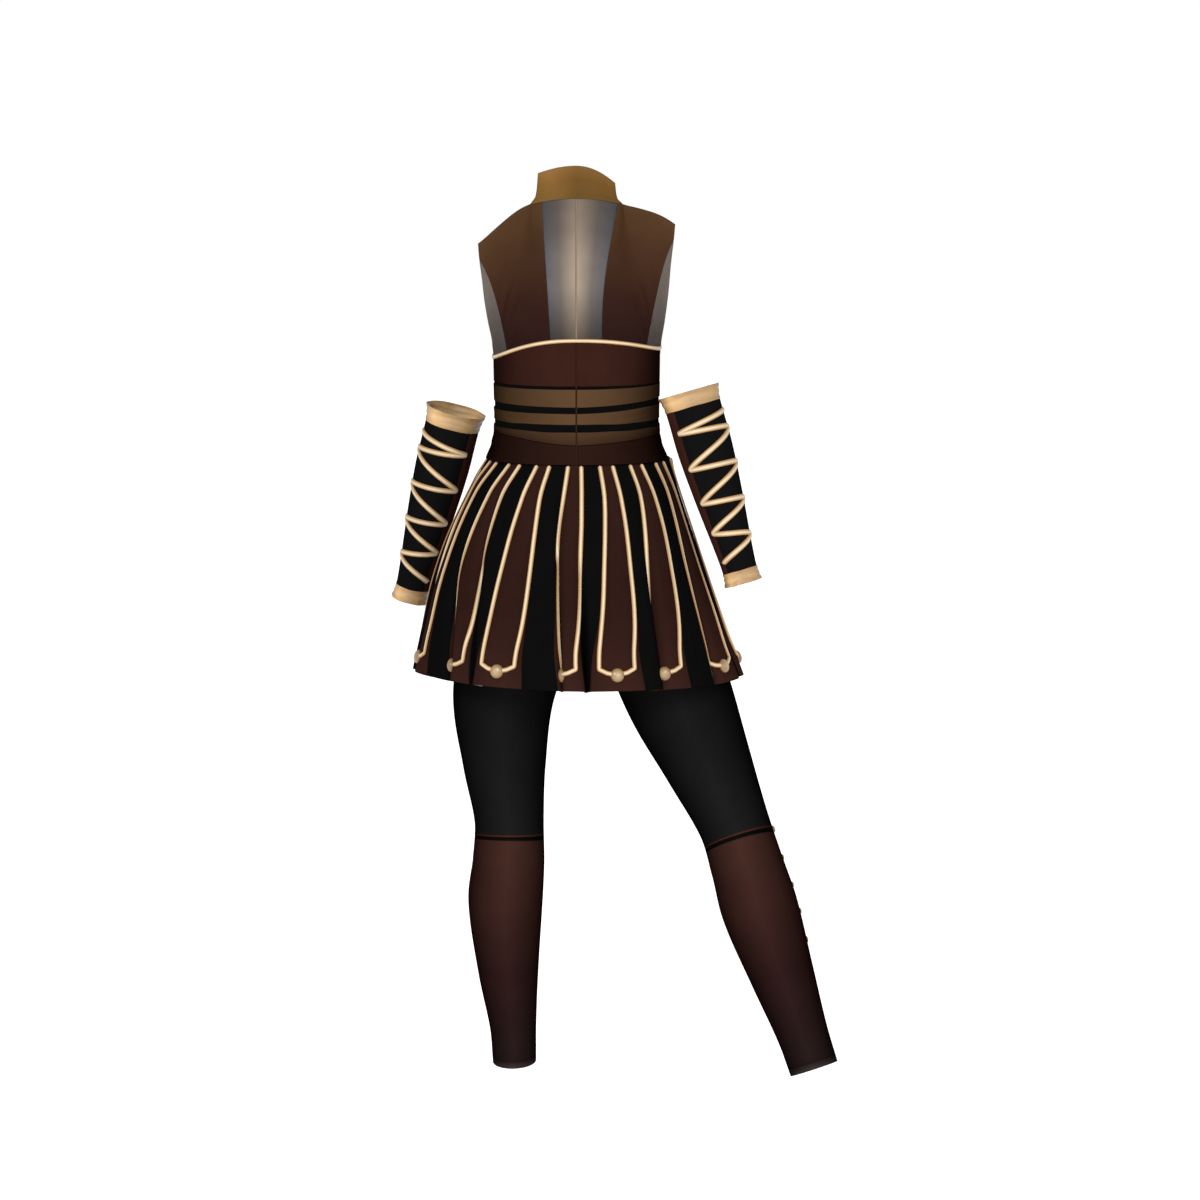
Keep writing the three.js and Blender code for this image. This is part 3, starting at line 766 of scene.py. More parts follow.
@dataclass
class Torso:
    """Worn shape of the dress above the waist seam, in millimetres.

    Attributes:
        profile: rows of height, half width, depth behind and depth before the side line.
        piping_low: height of the chest piping at the sides.
        piping_back: extra height of the piping at the centre back.
        piping_front: extra height of the piping at the centre front.
        piping_width: width of the piping.
        piping_tilt: how far the piping rises at the right side and falls at the left one.
        neck_share: share of the bodice's half width that the collar takes.
        shoulder_tilt: how far the right shoulder is up and the left one down.
        slack: slack folds as rows of angle, height, slope in millimetres per degree, half length
            in degrees, outward height and half width.
        armhole_back: rows of share and point of the armhole's back edge, from the piping up.
        armhole_front: the same for its front edge.
        centre_back: rows of share, depth and height of the centre-back line.
        centre_front: rows of share, depth and height of the centre-front line.
        shoulder: rows of share of the half width and point of the shoulder seam.
        collar_profile: rows of share upwards, half width, half depth and middle of the collar.
        collar_foot: height of the collar's foot at the sides, and its change at the back and front.
        collar_rim: the same for its rim.
        collar_dip: how much lower the rim is at the right side.
    """

    profile: Rows = (
        (-30, 152, 118, 104), (0, 142, 105, 98), (25, 132, 102, 96), (60, 128, 100, 96),
        (110, 128.5, 104, 102), (150, 129, 109, 114), (200, 129.5, 113, 124), (240, 130, 118, 128))
    piping_low: float = 163
    piping_back: float = 30
    piping_front: float = 22
    piping_width: float = 6
    piping_tilt: tuple[float, float] = (10, 4)
    neck_share: float = 0.45
    shoulder_tilt: float = 15
    slack: Rows = (
        (35, 70, -0.25, 28, 2.2, 4), (60, 58, -0.35, 25, 2.0, 3.5), (40, 48, 0.1, 26, 1.8, 4),
        (120, 66, 0.3, 26, 1.8, 4), (138, 82, 0.3, 22, 2.0, 4), (150, 50, 0.2, 22, 2.0, 4),
        (105, 46, 0.35, 22, 1.4, 3.5), (20, 30, 0.1, 25, 2.0, 6), (160, 28, 0.0, 20, 1.6, 6))
    armhole_back: Rows = (
        (0, 129, 0, 167), (0.12, 131, 0, 188), (0.3, 136, 36, 222), (0.5, 141, 52, 260),
        (0.7, 145, 45, 297), (0.86, 150, 24, 328), (1, 153, 4, 349))
    armhole_front: Rows = (
        (0, 129, 0, 167), (0.12, 131, 0, 188), (0.3, 131, -44, 222), (0.5, 133, -62, 260),
        (0.7, 138, -54, 297), (0.86, 147, -26, 328), (1, 153, 4, 349))
    centre_back: Rows = (
        (0, 113, 197), (0.25, 119, 250), (0.5, 119, 303), (0.72, 107, 350), (0.88, 84, 388), (1, 62, 414))
    centre_front: Rows = (
        (0, -124, 189), (0.2, -130, 222), (0.45, -118, 270), (0.7, -90, 320), (0.88, -66, 360),
        (1, -52, 384))
    shoulder: Rows = (
        (0.45, 70, 5, 396), (0.63, 95, 3, 386), (0.82, 125, 3, 369), (1, 153, 4, 349))
    collar_profile: Rows = ((0, 70, 57, 5), (0.25, 62, 53, 4), (1, 58, 49, 1))
    collar_foot: tuple[float, float, float] = (396, 11, -12)
    collar_rim: tuple[float, float, float] = (444, 13, -14)
    collar_dip: float = 15

    def __post_init__(self) -> None:
        """Turns the rows into smooth curves."""
        self.girth = smooth_rows(self.profile)
        self.arm = {1: smooth_rows(self.armhole_back), -1: smooth_rows(self.armhole_front)}
        self.centre = {1: smooth_rows(self.centre_back), -1: smooth_rows(self.centre_front)}
        self.seam = smooth_rows(self.shoulder)
        self.collar_girth = smooth_rows(self.collar_profile)

    def ring(self, degrees: Array, height: Array) -> Array:
        """Point of the torso: a superellipse at each height, turned from the left side.

        Args:
            degrees: angle from the left side, over the back.
            height: height over the waist seam in millimetres.

        Returns:
            Points in millimetres.
        """
        angle = np.radians(degrees)
        width, back, front = np.moveaxis(self.girth(height), -1, 0)
        depth = np.where(np.sin(angle) > 0, back, front)
        x = width * power(np.cos(angle), 2 / SQUARENESS)
        return points(x, depth * power(np.sin(angle), 2 / SQUARENESS), height)

    def drape(self, degrees: Array, height: Array) -> Array:
        """Outward height of the slack folds that cross the waist, a sum of slanted bells.

        Args:
            degrees: angle from the left side, over the back.
            height: height over the waist seam in millimetres.

        Returns:
            Heights in millimetres.
        """
        total = np.zeros(np.broadcast(degrees, height).shape)
        for centre, level, slope, reach, rise, width in self.slack:
            away = (degrees - centre + 180) % 360 - 180
            across = height - level - slope * away
            total = total + rise * np.exp(-((away / reach) ** 2) - (across / width) ** 2)
        return total

    def slack_ring(self, degrees: Array, height: Array) -> Array:
        """Point of the torso with the slack folds raised on it."""
        place = self.ring(degrees, height)
        return place + unit(place * np.array([1.0, 1.0, 0.0])) * self.drape(degrees, height)[..., None]

    def piping_height(self, degrees: Array) -> Array:
        """Height of the piping: the square of the sine, and a rise with the cosine to the right side.

        Args:
            degrees: angle from the left side, over the back.

        Returns:
            Heights in millimetres.
        """
        sine, cosine = np.sin(np.radians(degrees)), np.cos(np.radians(degrees))
        arch = np.where(sine > 0, self.piping_back, self.piping_front) * sine**2
        rise, drop = self.piping_tilt
        return self.piping_low + arch + rise * np.clip(-cosine, 0, 1) ** 2 - drop * np.clip(cosine, 0, 1) ** 2

    def collar(self, u: Array, v: Array) -> Array:
        """Stand collar: an ellipse that narrows upwards between a sloping foot and rim.

        Args:
            u: share across, once round on a ring.
            v: share along.

        Returns:
            Points in millimetres.
        """
        angle = 2 * np.pi * u
        width, depth, centre = np.moveaxis(self.collar_girth(v), -1, 0)
        sine = np.sin(angle)
        foot, rim = (level + np.where(sine > 0, back, front) * sine**2
                     for level, back, front in (self.collar_foot, self.collar_rim))
        rim = rim - self.collar_dip * np.clip(-np.cos(angle), 0, 1) ** 2
        return points(width * np.cos(angle), centre + depth * sine, mix(foot, rim, v))

    def top_edge(self, face: int, s: Array) -> Array:
        """Top edge of a bodice quarter: the collar seam, then the shoulder seam.

        Args:
            face: 1 for the back, -1 for the front.
            s: share from the centre line outwards.

        Returns:
            Points in millimetres.
        """
        turn = 0.25 * (1 - np.clip(s / self.neck_share, 0, 1))
        neck = self.collar(face * turn, np.zeros_like(s))
        return np.where((s > self.neck_share)[..., None], self.seam(np.minimum(s, 1)), neck)

    def soft_top_edge(self, face: int, s: Array, t: Array) -> Array:
        """Top edge averaged over a span that widens downwards, so its corner fades out below."""
        span = 0.35 * (1 - t) * np.minimum(1, 4 * np.minimum(s, 1 - s))
        return sum(self.top_edge(face, s + k * span / 4) for k in range(-4, 5)) / 9

    def quarter(self, face: int, s: Array, t: Array) -> Array:
        """Quarter of the upper bodice, a Coons patch blended from its four edges.

        Args:
            face: 1 for the back, -1 for the front.
            s: share from the centre line to the side or armhole.
            t: share from the piping to the collar and shoulder.

        Returns:
            Points on the left side.
        """
        degrees = face * 90 * (1 - s)
        low = self.ring(degrees, self.piping_height(degrees) + self.piping_width / 2 - 1)
        corner_low, corner_top = self.arm[face](np.zeros(1))[0], self.arm[face](np.ones(1))[0]
        middle = self.centre[face](t)
        middle = np.concatenate([np.zeros_like(middle[..., :1]), middle], axis=-1)
        ends = self.centre[face](np.array([0.0, 1.0]))
        mid_low, mid_top = (np.concatenate([[0.0], end]) for end in ends)
        s, t = s[..., None], t[..., None]
        blend = (1 - t) * low + t * self.soft_top_edge(face, s[..., 0], t[..., 0])
        blend = blend + (1 - s) * middle + s * self.arm[face](t[..., 0])
        blend = blend - (1 - s) * (1 - t) * mid_low - s * (1 - t) * corner_low
        return blend - (1 - s) * t * mid_top - s * t * corner_top

    def bodice(self, side: Array, face: int, s: Array, t: Array) -> Array:
        """Point of the upper bodice with the shoulders tilted.

        Args:
            side: sign of X.
            face: 1 for the back, -1 for the front.
            s: share from the centre line outwards.
            t: share upwards.

        Returns:
            Points in millimetres.
        """
        place = self.quarter(face, s, t)
        reach = step(place[..., 0], 70, 153) * step(place[..., 2], 180, 340)
        place[..., 2] -= side * self.shoulder_tilt * reach
        place[..., 0] *= side
        return place


@dataclass
class Bodice:
    """Upper dress: collar, back, side and front panels, chest piping and the torso under it.

    Attributes:
        torso: worn shape.
        mesh_low: edge of the back mesh at the piping, as a share of the half width.
        mesh_high: edge of the back mesh at the collar.
        side_share: share of the half width that the side mesh takes at the piping.
        horn: height where the side mesh runs out into the armhole edge.
        underarm: height of the underarm point, as a share of the armhole edge.
        wrap_top: height where the torso's wine cloth starts over the waist wrap.
    """

    torso: Torso
    mesh_low: float = 0.165
    mesh_high: dict[Side, float] = field(default_factory=lambda: {Side.LEFT: 0.24, Side.RIGHT: 0.32})
    side_share: float = 0.41
    horn: float = 0.85
    underarm: float = 0.12
    wrap_top: float = 122

    def mesh_edge(self, side: Side) -> Curve:
        """Share of the half width where the back mesh ends, as a function of the height share."""
        bend = 1.0 if side is Side.LEFT else 2.2
        return lambda t: mix(self.mesh_low, self.mesh_high[side], np.clip(t, 0, 1) ** bend)

    def brown_edge(self, t: Array) -> Array:
        """Share of the half width where the brown panel meets the side mesh or the armhole."""
        return np.minimum(1, 1 - self.side_share * (1 - t / self.horn))

    def back_piece(self, side: Side, inner: Curve, outer: Curve) -> Surface:
        """Back panel between two edge curves, running so that it faces out on either side.

        Args:
            side: side of the wearer.
            inner: edge towards the centre line, over the height share.
            outer: edge away from it, over the height share.

        Returns:
            The surface.
        """

        def place(u: Array, v: Array) -> Array:
            """Point of the panel."""
            share = 1 - u if side is Side.LEFT else u
            return self.torso.bodice(side.value, 1, mix(inner(v), outer(v), share), v)

        return place

    def side_piece(self, side: Side) -> Surface:
        """Mesh under the arm: u from the front edge round to the back edge, v up to the armhole.

        Args:
            side: side of the wearer.

        Returns:
            The surface.
        """

        def place(u: Array, v: Array) -> Array:
            """Point of the mesh.

            Args:
                u: share across, once round on a ring.
                v: share along.

            Returns:
                Points in millimetres.
            """
            around = side.value * (2 * u - 1)
            t = v * mix(self.underarm, self.horn, np.abs(around))
            s = 1 - (1 - v) * self.side_share * np.abs(around)
            back = self.torso.bodice(side.value, 1, s, t)
            front = self.torso.bodice(side.value, -1, s, t)
            return np.where((around > 0)[..., None], back, front)

        return place

    def front_piece(self, u: Array, v: Array) -> Array:
        """Front panel from one armhole to the other, across the centre line.

        Args:
            u: share across, once round on a ring.
            v: share along.

        Returns:
            Points in millimetres.
        """
        across = 2 * u - 1
        s = np.abs(across) * self.brown_edge(v)
        side = np.where(across < 0, -1.0, 1.0)
        return self.torso.bodice(side, -1, s, v)

    def under_piping(self, start: float) -> Surface:
        """Half of the torso under the piping, from one side seam to the other.

        Args:
            start: angle where the half begins.

        Returns:
            The surface.
        """
        top = self.wrap_top

        def place(u: Array, v: Array) -> Array:
            """Point of the torso."""
            degrees = start + 180 * u
            return self.torso.ring(degrees, mix(top, self.torso.piping_height(degrees), v))

        return place

    @staticmethod
    def pulls(side: Side) -> list[Crease]:
        """Creases that pull from the underarm up to the shoulder blade.

        Args:
            side: side of the wearer.

        Returns:
            The creases.
        """
        rows = ((0.04, 0.2, 0.5, 0.52, 1.6), (0.02, 0.27, 0.36, 0.56, -1.2), (0.1, 0.1, 0.66, 0.42, 1.2),
                (0.05, 0.36, 0.3, 0.68, 1.0), (0.15, 0.02, 0.8, 0.2, 1.0))
        if side is Side.LEFT:
            return [Crease((u0, v0), (u1, v1), depth, 5) for u0, v0, u1, v1, depth in rows]
        return [Crease((1 - u0, v0), (1 - u1, v1), 0.7 * depth, 6) for u0, v0, u1, v1, depth in rows]

    def seam_path(self, share: Array) -> tuple[Array, Array]:
        """Centre-back seam of the mesh, from the piping up to the collar.

        Args:
            share: share along the path.

        Returns:
            Points and outward directions.
        """
        place = self.torso.bodice(np.ones_like(share), 1, np.zeros_like(share), share)
        normal = outward(lambda u, v: self.torso.bodice(-1.0, 1, u, v), np.zeros_like(share), share)
        return place + normal * CLOTH, normal

    def piping_path(self, share: Array) -> tuple[Array, Array]:
        """Path of the chest piping and the direction it stands out.

        Args:
            share: share along the path.

        Returns:
            Points and outward directions.
        """
        degrees = 90 + share * 360
        place = self.torso.ring(degrees, self.torso.piping_height(degrees))
        normal = unit(place * np.array([1, 1, 0]))
        return place + normal * CLOTH, normal

    def build(self) -> None:
        """Makes every piece of the upper dress."""
        ClothPiece("collar_cloth", self.torso.collar, "bronze_knit", "dress", ["collar"], 128, 24,
                   ring=True, lift=2.0, thickness=1.8, reverse="bronze_knit").build()
        for side in Side:
            word = side.word
            edge = self.mesh_edge(side)
            ClothPiece(f"back_mesh_cloth_{word}", self.back_piece(side, lambda t: 0 * t, edge),
                       f"sheer_back_{word}", "dress", [f"back_mesh_{word}"], 24, 96).build()
            ClothPiece(f"back_panel_cloth_{word}", self.back_piece(side, edge, self.brown_edge),
                       "olive_back", "dress", [f"back_panel_{word}"], 90, 96,
                       creases=self.pulls(side)).build()
            ClothPiece(f"side_mesh_cloth_{word}", self.side_piece(side), "sheer_side", "dress",
                       [f"side_mesh_{word}"], 80, 40).build()
        ClothPiece("front_cloth", self.front_piece, "olive_back", "dress", ["front_panel"],
                   120, 96).build()
        # bodice_wine paints shade towards the side seams of each half.
        for word, start in (("back", 0), ("front", 180)):
            ClothPiece(f"bodice_cloth_{word}", self.under_piping(start), "bodice_wine", "dress",
                       [f"bodice_{word}"], 120, 40).build()
        Cord("chest_piping_cord", self.piping_path, "dress", ["chest_piping"], 6.5, 2.6, 360,
             closed=True).build()
        Cord("mesh_seam", self.seam_path, "dress", (), 2.4, 0.8, 120, finish="seam_mesh").build()
        log.info("bodice: collar, mesh, panels, torso and piping made")


@dataclass
class Waist:
    """Waist wrap: a black band with three straps over it, and the waistband under them.

    Attributes:
        torso: worn shape.
        straps: rows of each strap's lower and upper height at the centre back, and how far its
            lower and upper edge rise to the left and to the right side.
        wrap: lower and upper edge of the black wrap.
        band: top of the waistband at the centre back, and its rise to the left and right side.
    """

    torso: Torso
    straps: dict[str, Sequence[float]] = field(default_factory=lambda: {
        "upper": (89, 117, 3, 9, 0, 2), "middle": (62, 79, 1, 2, 1, 9), "lower": (30, 50, 17, 12, 3, 3)})
    wrap: tuple[float, float] = (29, 121.5)
    band: tuple[float, float, float] = (29, 17, 12)

    def ring(self, low: Curve, high: Curve) -> Surface:
        """Ring of the torso between two edges, given as heights over the angle in degrees."""
        return lambda u, v: self.torso.slack_ring(360 * u, mix(low(360 * u), high(360 * u), v))

    @staticmethod
    def edge(level: float, left: float, right: float) -> Curve:
        """Edge at a level that rises to the two sides with the power 1.3 of the cosine.

        Args:
            level: height at the centre line.
            left: rise to the left side.
            right: rise to the right side.

        Returns:
            Height of the edge over the angle.
        """

        def height(degrees: Array) -> Array:
            """Height of the edge."""
            cosine = np.cos(np.radians(degrees))
            return level + np.where(cosine > 0, left, right) * np.abs(cosine) ** 1.3

        return height

    def build(self) -> None:
        """Makes the wrap, the straps and the waistband."""
        wrap = self.ring(*(self.edge(level, 0, 0) for level in self.wrap))
        ClothPiece("wrap_cloth", wrap, "black_knit", "dress", ["waist_wrap"], 240, 60, ring=True,
                   lift=0.6).build()
        for name, (low, high, low_left, low_right, high_left, high_right) in self.straps.items():
            surface = self.ring(self.edge(low, low_left, low_right), self.edge(high, high_left, high_right))
            finish = "strap_dim" if name == "lower" else "strap_olive"
            ClothPiece(f"strap_{name}", surface, finish, "dress", [f"waist_strap_{name}"], 240, 20,
                       ring=True, lift=2.0).build()
        waistband = self.ring(self.edge(0, 0, 0), self.edge(*self.band))
        ClothPiece("waistband_cloth", waistband, "waistband_wine", "dress", ["waistband"], 240, 24,
                   ring=True, lift=1.4).build()
        Cord("waist_seam", self.seam_path, "dress", (), 2.6, 0.9, 160, finish="seam_dark").build()
        log.info("waist: wrap, straps and waistband made")

    def seam_path(self, share: Array) -> tuple[Array, Array]:
        """Centre-back seam from the waist up to the piping.

        Args:
            share: share along the path.

        Returns:
            Points and outward directions.
        """
        degrees = np.full_like(share, 90.0)
        top = self.torso.piping_height(degrees) - self.torso.piping_width / 2
        place = self.torso.slack_ring(degrees, mix(1.0, top, share))
        normal = np.broadcast_to(np.array([0.0, 1.0, 0.0]), place.shape)
        return place + normal * (CLOTH + 0.4), normal


@dataclass
class Skirt:
    """Flared skirt whose cloth falls in deep narrow folds, with sixteen edged tabs.

    Attributes:
        drop: length from the waist seam to the hem.
        tabs: number of tabs.
        envelope: rows of drop, half width left and right, depth behind and before.
        valleys: folds as rows of degrees from the centre back towards the left, depth at the hem
            in millimetres, half width in degrees, how far its left lip (right lip if negative)
            folds over it as a share of the depth, exponent of its onset, and how many degrees
            further to the left it starts at the waist.
        widths: rows of fall, width of a tab and distance between its two lines of edging, as
            shares of the cloth between two tabs.
        spread: rows of fall, how much more cloth a tab takes behind the left and the right hip,
            and where the first tab's middle is, in degrees from the centre back.
        corner: fall of the corners of the edging.
        stud: fall of the middle of a stud.
        edging: width and height of the edging cord.
        hem_rise: how far the hem rises and falls on its way round.
        hem_low: where it hangs lowest, in degrees from the centre back.
        gather: how much longer the cloth hangs in a valley, as a share of the valley's depth.
        samples: points of the outline at each height.
        sides: columns of the lattice round the skirt.
        rows: rows of the lattice.
    """

    drop: float
    tabs: int = 16
    envelope: Rows = (
        (0, 138, 146, 105, 98), (40, 161, 156, 126, 112), (122, 200, 183, 156, 140),
        (203, 228, 211, 181, 165), (285, 246, 241, 202, 188), (347, 259, 264, 214, 204))
    valleys: Rows = (
        (6.6, 27, 1.9, 0.55, 0.9, 4), (-2.6, 36, 1.6, 0.3, 2.2, 1), (-30.0, 38, 2.0, 0.5, 1.6, -10),
        (-57, 12, 2.4, 0.3, 1.8, -8), (-78, 26, 2.6, 0.3, 1.5, 0), (-98, 29, 2.6, -0.3, 1.5, 0),
        (-121, 31, 2.6, 0.3, 1.5, 0), (-143, 28, 2.6, -0.3, 1.5, 0), (-166, 31, 2.6, 0.3, 1.5, 0),
        (171, 29, 2.6, -0.3, 1.5, 0), (149, 31, 2.6, 0.3, 1.5, 0), (126, 28, 2.6, -0.3, 1.5, 0),
        (103, 30, 2.6, 0.3, 1.5, 0), (80, 27, 2.4, -0.3, 1.5, 0), (53, 26, 2.0, 0.5, 1.8, 12),
        (38.6, 30, 1.7, -0.4, 1.6, 10))
    widths: Rows = (
        (0, 0.42, 0.41), (0.15, 0.45, 0.43), (0.3, 0.54, 0.49), (0.5, 0.59, 0.52), (0.7, 0.6, 0.5),
        (0.88, 0.6, 0.43), (1, 0.6, 0.4))
    spread: Rows = (
        (0, 0.0, 0.0, 1.0), (0.15, 0.19, 0.1, 1.8), (0.5, 0.19, 0.08, 4.2), (0.8, 0.12, 0.11, 5.4),
        (1, 0.08, 0.14, 4.8))
    corner: float = 0.9
    stud: float = 0.928
    edging: tuple[float, float] = (7.4, 2.4)
    hem_rise: float = 7
    hem_low: float = 45
    gather: float = 0.25
    samples: int = 5760
    sides: int = 960
    rows: int = 120

    def __post_init__(self) -> None:
        """Works out the lattice of the cloth, its columns an even share of the cloth at each height.

        At each height the outline is the envelope less the bells of the valleys; its run is
        summed and cut into equal shares, so a tab holds the same share of cloth all the way down.
        """
        degrees = np.linspace(-180, 180, self.samples, endpoint=False)
        fall = np.linspace(0, 1, self.rows + 1)
        outline = self.outline(degrees[None, :], fall[:, None])
        closed = np.concatenate([outline, outline[:, :1]], axis=1)
        run = np.linalg.norm(np.diff(closed, axis=1), axis=-1)
        length = np.concatenate([np.zeros((len(fall), 1)), np.cumsum(run, axis=1)], axis=1)
        edges = np.append(degrees, 180.0)
        extra = smooth_rows(self.spread)(fall)
        turn = np.linspace(0, 2 * np.pi, self.sides + 1)
        grid = []
        for j, total in enumerate(length[:, -1]):
            gain = np.where(np.sin(turn) > 0, extra[j, 1], extra[j, 0])
            shares = (turn + gain * np.sin(turn)) / (2 * np.pi)
            origin = np.interp(extra[j, 2], edges, length[j])
            wanted = origin - shares * total
            turns = np.floor(wanted / total)
            place = np.interp(wanted - turns * total, length[j], edges)
            grid.append(self.outline(place, np.full_like(place, fall[j])))
        self.grid = np.array(grid)
        padded = np.concatenate([self.grid[:, -4:-1], self.grid, self.grid[:, 1:4]], axis=1)
        along = np.gradient(padded, axis=0)
        across = np.gradient(padded, axis=1)
        self.normals = unit(np.cross(along, across))[:, 3:-3]

    def outline(self, degrees: Array, fall: Array) -> Array:
        """Point of the skirt at an angle from the centre back towards the left.

        Args:
            degrees: angle from the centre back towards the left.
            fall: share of the length below the waist seam.

        Returns:
            Points in millimetres.
        """
        angle = np.radians(degrees)
        rows = smooth_rows(self.envelope)(fall * self.envelope[-1][0])
        left, right, back, front = np.moveaxis(rows, -1, 0)
        sine, cosine = np.sin(angle), np.cos(angle)
        width = np.where(sine > 0, left, right)
        depth = np.where(cosine > 0, back, front)
        cut = slide = np.zeros(np.broadcast(degrees, fall).shape)
        for centre, deep, half, lean, onset, drift in self.valleys:
            away = (degrees - centre - drift * (1 - fall) + 180) % 360 - 180
            bell = deep * fall**onset * np.exp(-(np.abs(away / (half * mix(1.8, 1.0, fall))) ** 2.2))
            cut = cut + bell
            lip = away / half - 1.2 * np.sign(lean)
            slide = slide - lean * deep * fall**onset * np.exp(-(lip**2))
        wave = 2.0 * fall * np.sin(5 * angle + 0.7) + 1.5 * fall * np.sin(9 * angle + 2.1)
        swing = self.hem_rise * np.cos(angle - np.radians(self.hem_low))
        reach = self.drop - self.hem_rise - swing + self.gather * cut
        x = (width - cut + wave) * sine + slide * cosine
        y = (depth - cut + wave) * cosine - slide * sine
        return points(x, y, -fall * reach)

    def at(self, column: Array, fall: Array, lift: float = 0.0) -> Array:
        """Point of the cloth.

        Args:
            column: quarters of the pitch between tabs, counted from the centre back to the right.
            fall: share of the length below the waist seam.
            lift: distance over the cloth.

        Returns:
            Points read from the lattice between its four nearest ones.
        """
        k = (np.asarray(column) / (4 * self.tabs) % 1.0) * self.sides
        j = np.clip(fall, 0, 1) * self.rows
        k0 = np.minimum(np.floor(k).astype(int), self.sides - 1)
        j0 = np.minimum(np.floor(j).astype(int), self.rows - 1)
        a, b = (k - k0)[..., None], (j - j0)[..., None]
        total = 0
        for dj, weight_j in ((0, 1 - b), (1, b)):
            for dk, weight_k in ((0, 1 - a), (1, a)):
                corner = self.grid[j0 + dj, k0 + dk] + self.normals[j0 + dj, k0 + dk] * lift
                total = total + weight_j * weight_k * corner
        return total

    def tab_half(self, fall: Array) -> Array:
        """Half width of a tab in quarters of the pitch."""
        return 2 * smooth_rows(self.widths)(np.clip(fall, 0, 1))[..., 0]

    def edging_half(self, fall: Array) -> Array:
        """Half the distance between a tab's lines of edging in quarters of the pitch."""
        return 2 * smooth_rows(self.widths)(np.clip(fall, 0, 1))[..., 1]

    def tab_surface(self, number: int, lift: float) -> Surface:
        """Tab between its two edges, v going up from the hem.

        Args:
            number: number of the tab, counted from the centre back to the right.
            lift: distance over the cloth.

        Returns:
            The surface.
        """

        def place(u: Array, v: Array) -> Array:
            """Point of the tab."""
            fall = 1 - v
            return self.at(4 * number + self.tab_half(fall) * (2 * u - 1), fall, lift)

        return place

    def edging_path(self, number: int) -> Path:
        """Edging: down one side of the tab, in to the stud, and up the other side.

        Args:
            number: number of the tab, counted from the centre back to the right.

        Returns:
            Path of points and outward directions.
        """

        def place(share: Array) -> tuple[Array, Array]:
            """Path and outward direction.

            Args:
                share: share along the path.

            Returns:
                Points and outward directions.
            """
            mirrored = np.minimum(share, 1 - share)
            falls = [0.003, self.corner, self.stud - 0.01, self.stud]
            fall = np.interp(mirrored, [0, 0.445, 0.475, 0.5], falls)
            inset = np.interp(mirrored, [0.445, 0.475, 0.5], [1.0, 0.55, 0.0])
            half = self.edging_half(np.minimum(fall, self.corner))
            column = 4 * number + np.sign(share - 0.5) * inset * half
            low, high = self.at(column, fall, 1.4), self.at(column, fall, 2.4)
            return low, unit(high - low)

        return place

    def build(self) -> None:
        """Makes the four black panels and the tabs with their edging and studs."""
        for quarter in range(4):
            first = 16 * quarter - 6

            def place(u: Array, v: Array, first: int = first) -> Array:
                """Point of the panel, v going up from the hem."""
                return self.at(first + 16 * u, 1 - v)

            self._sheet(f"skirt_cloth_{quarter + 1}", place, "black_knit",
                        [f"skirt_panel_{quarter + 1}"], 192, 0.0, 0.9)
        for number in range(self.tabs):
            self._sheet(f"tab_cloth_{number + 1}", self.tab_surface(number, 0), "tab_wine",
                        [f"skirt_tab_{number + 1}"], 28, 0.7, 0.5)
            path = self.edging_path(number)
            Cord(f"tab_edging_{number + 1}", path, "dress", (), *self.edging, 260).build()
            column, fall = np.array(4.0 * number), np.array(self.stud)
            centre = self.at(column, fall, 1.0)
            normal = unit(self.at(column, fall, 2.0) - centre)
            Stud(f"tab_stud_{number + 1}", centre, normal, "dress").build()
        log.info("skirt: %d tabs with edging and studs made", self.tabs)

    def _sheet(self, name: str, surface: Surface, finish: str, stands_for: Sequence[str], columns: int,
               lift: float, thickness: float) -> None:
        """Makes one cloth piece of the skirt on its own lattice of points.

        Args:
            name: name of the piece.
            surface: its points.
            finish: key of its finish.
            stands_for: frame nodes that it replaces.
            columns: grid steps across.
            lift: distance over the cloth.
            thickness: thickness of the cloth.
        """
        ClothPiece(name, surface, finish, "dress", stands_for, columns, 120, lift=lift,
                   thickness=thickness, held="hung").build()


# ---------------------------------------------------------------- leggings and gauntlets


def limb_ring(centre: Array, along: Array, half_width: Array, half_depth: Array, turn: Array) -> Array:
    """Point round a limb: an ellipse square to its axis, turned from +X, anticlockwise from above.

    Args:
        centre: points on the axis.
        along: unit vectors along the axis.
        half_width: half width there.
        half_depth: half depth there.
        turn: angle in radians.

    Returns:
        Points in millimetres.
    """
    across = unit(np.cross(along, np.array([0.0, 1.0, 0.0])))
    behind = np.cross(across, along)
    return (centre + across * (half_width * np.cos(turn))[..., None]
            + behind * (half_depth * np.sin(turn))[..., None])


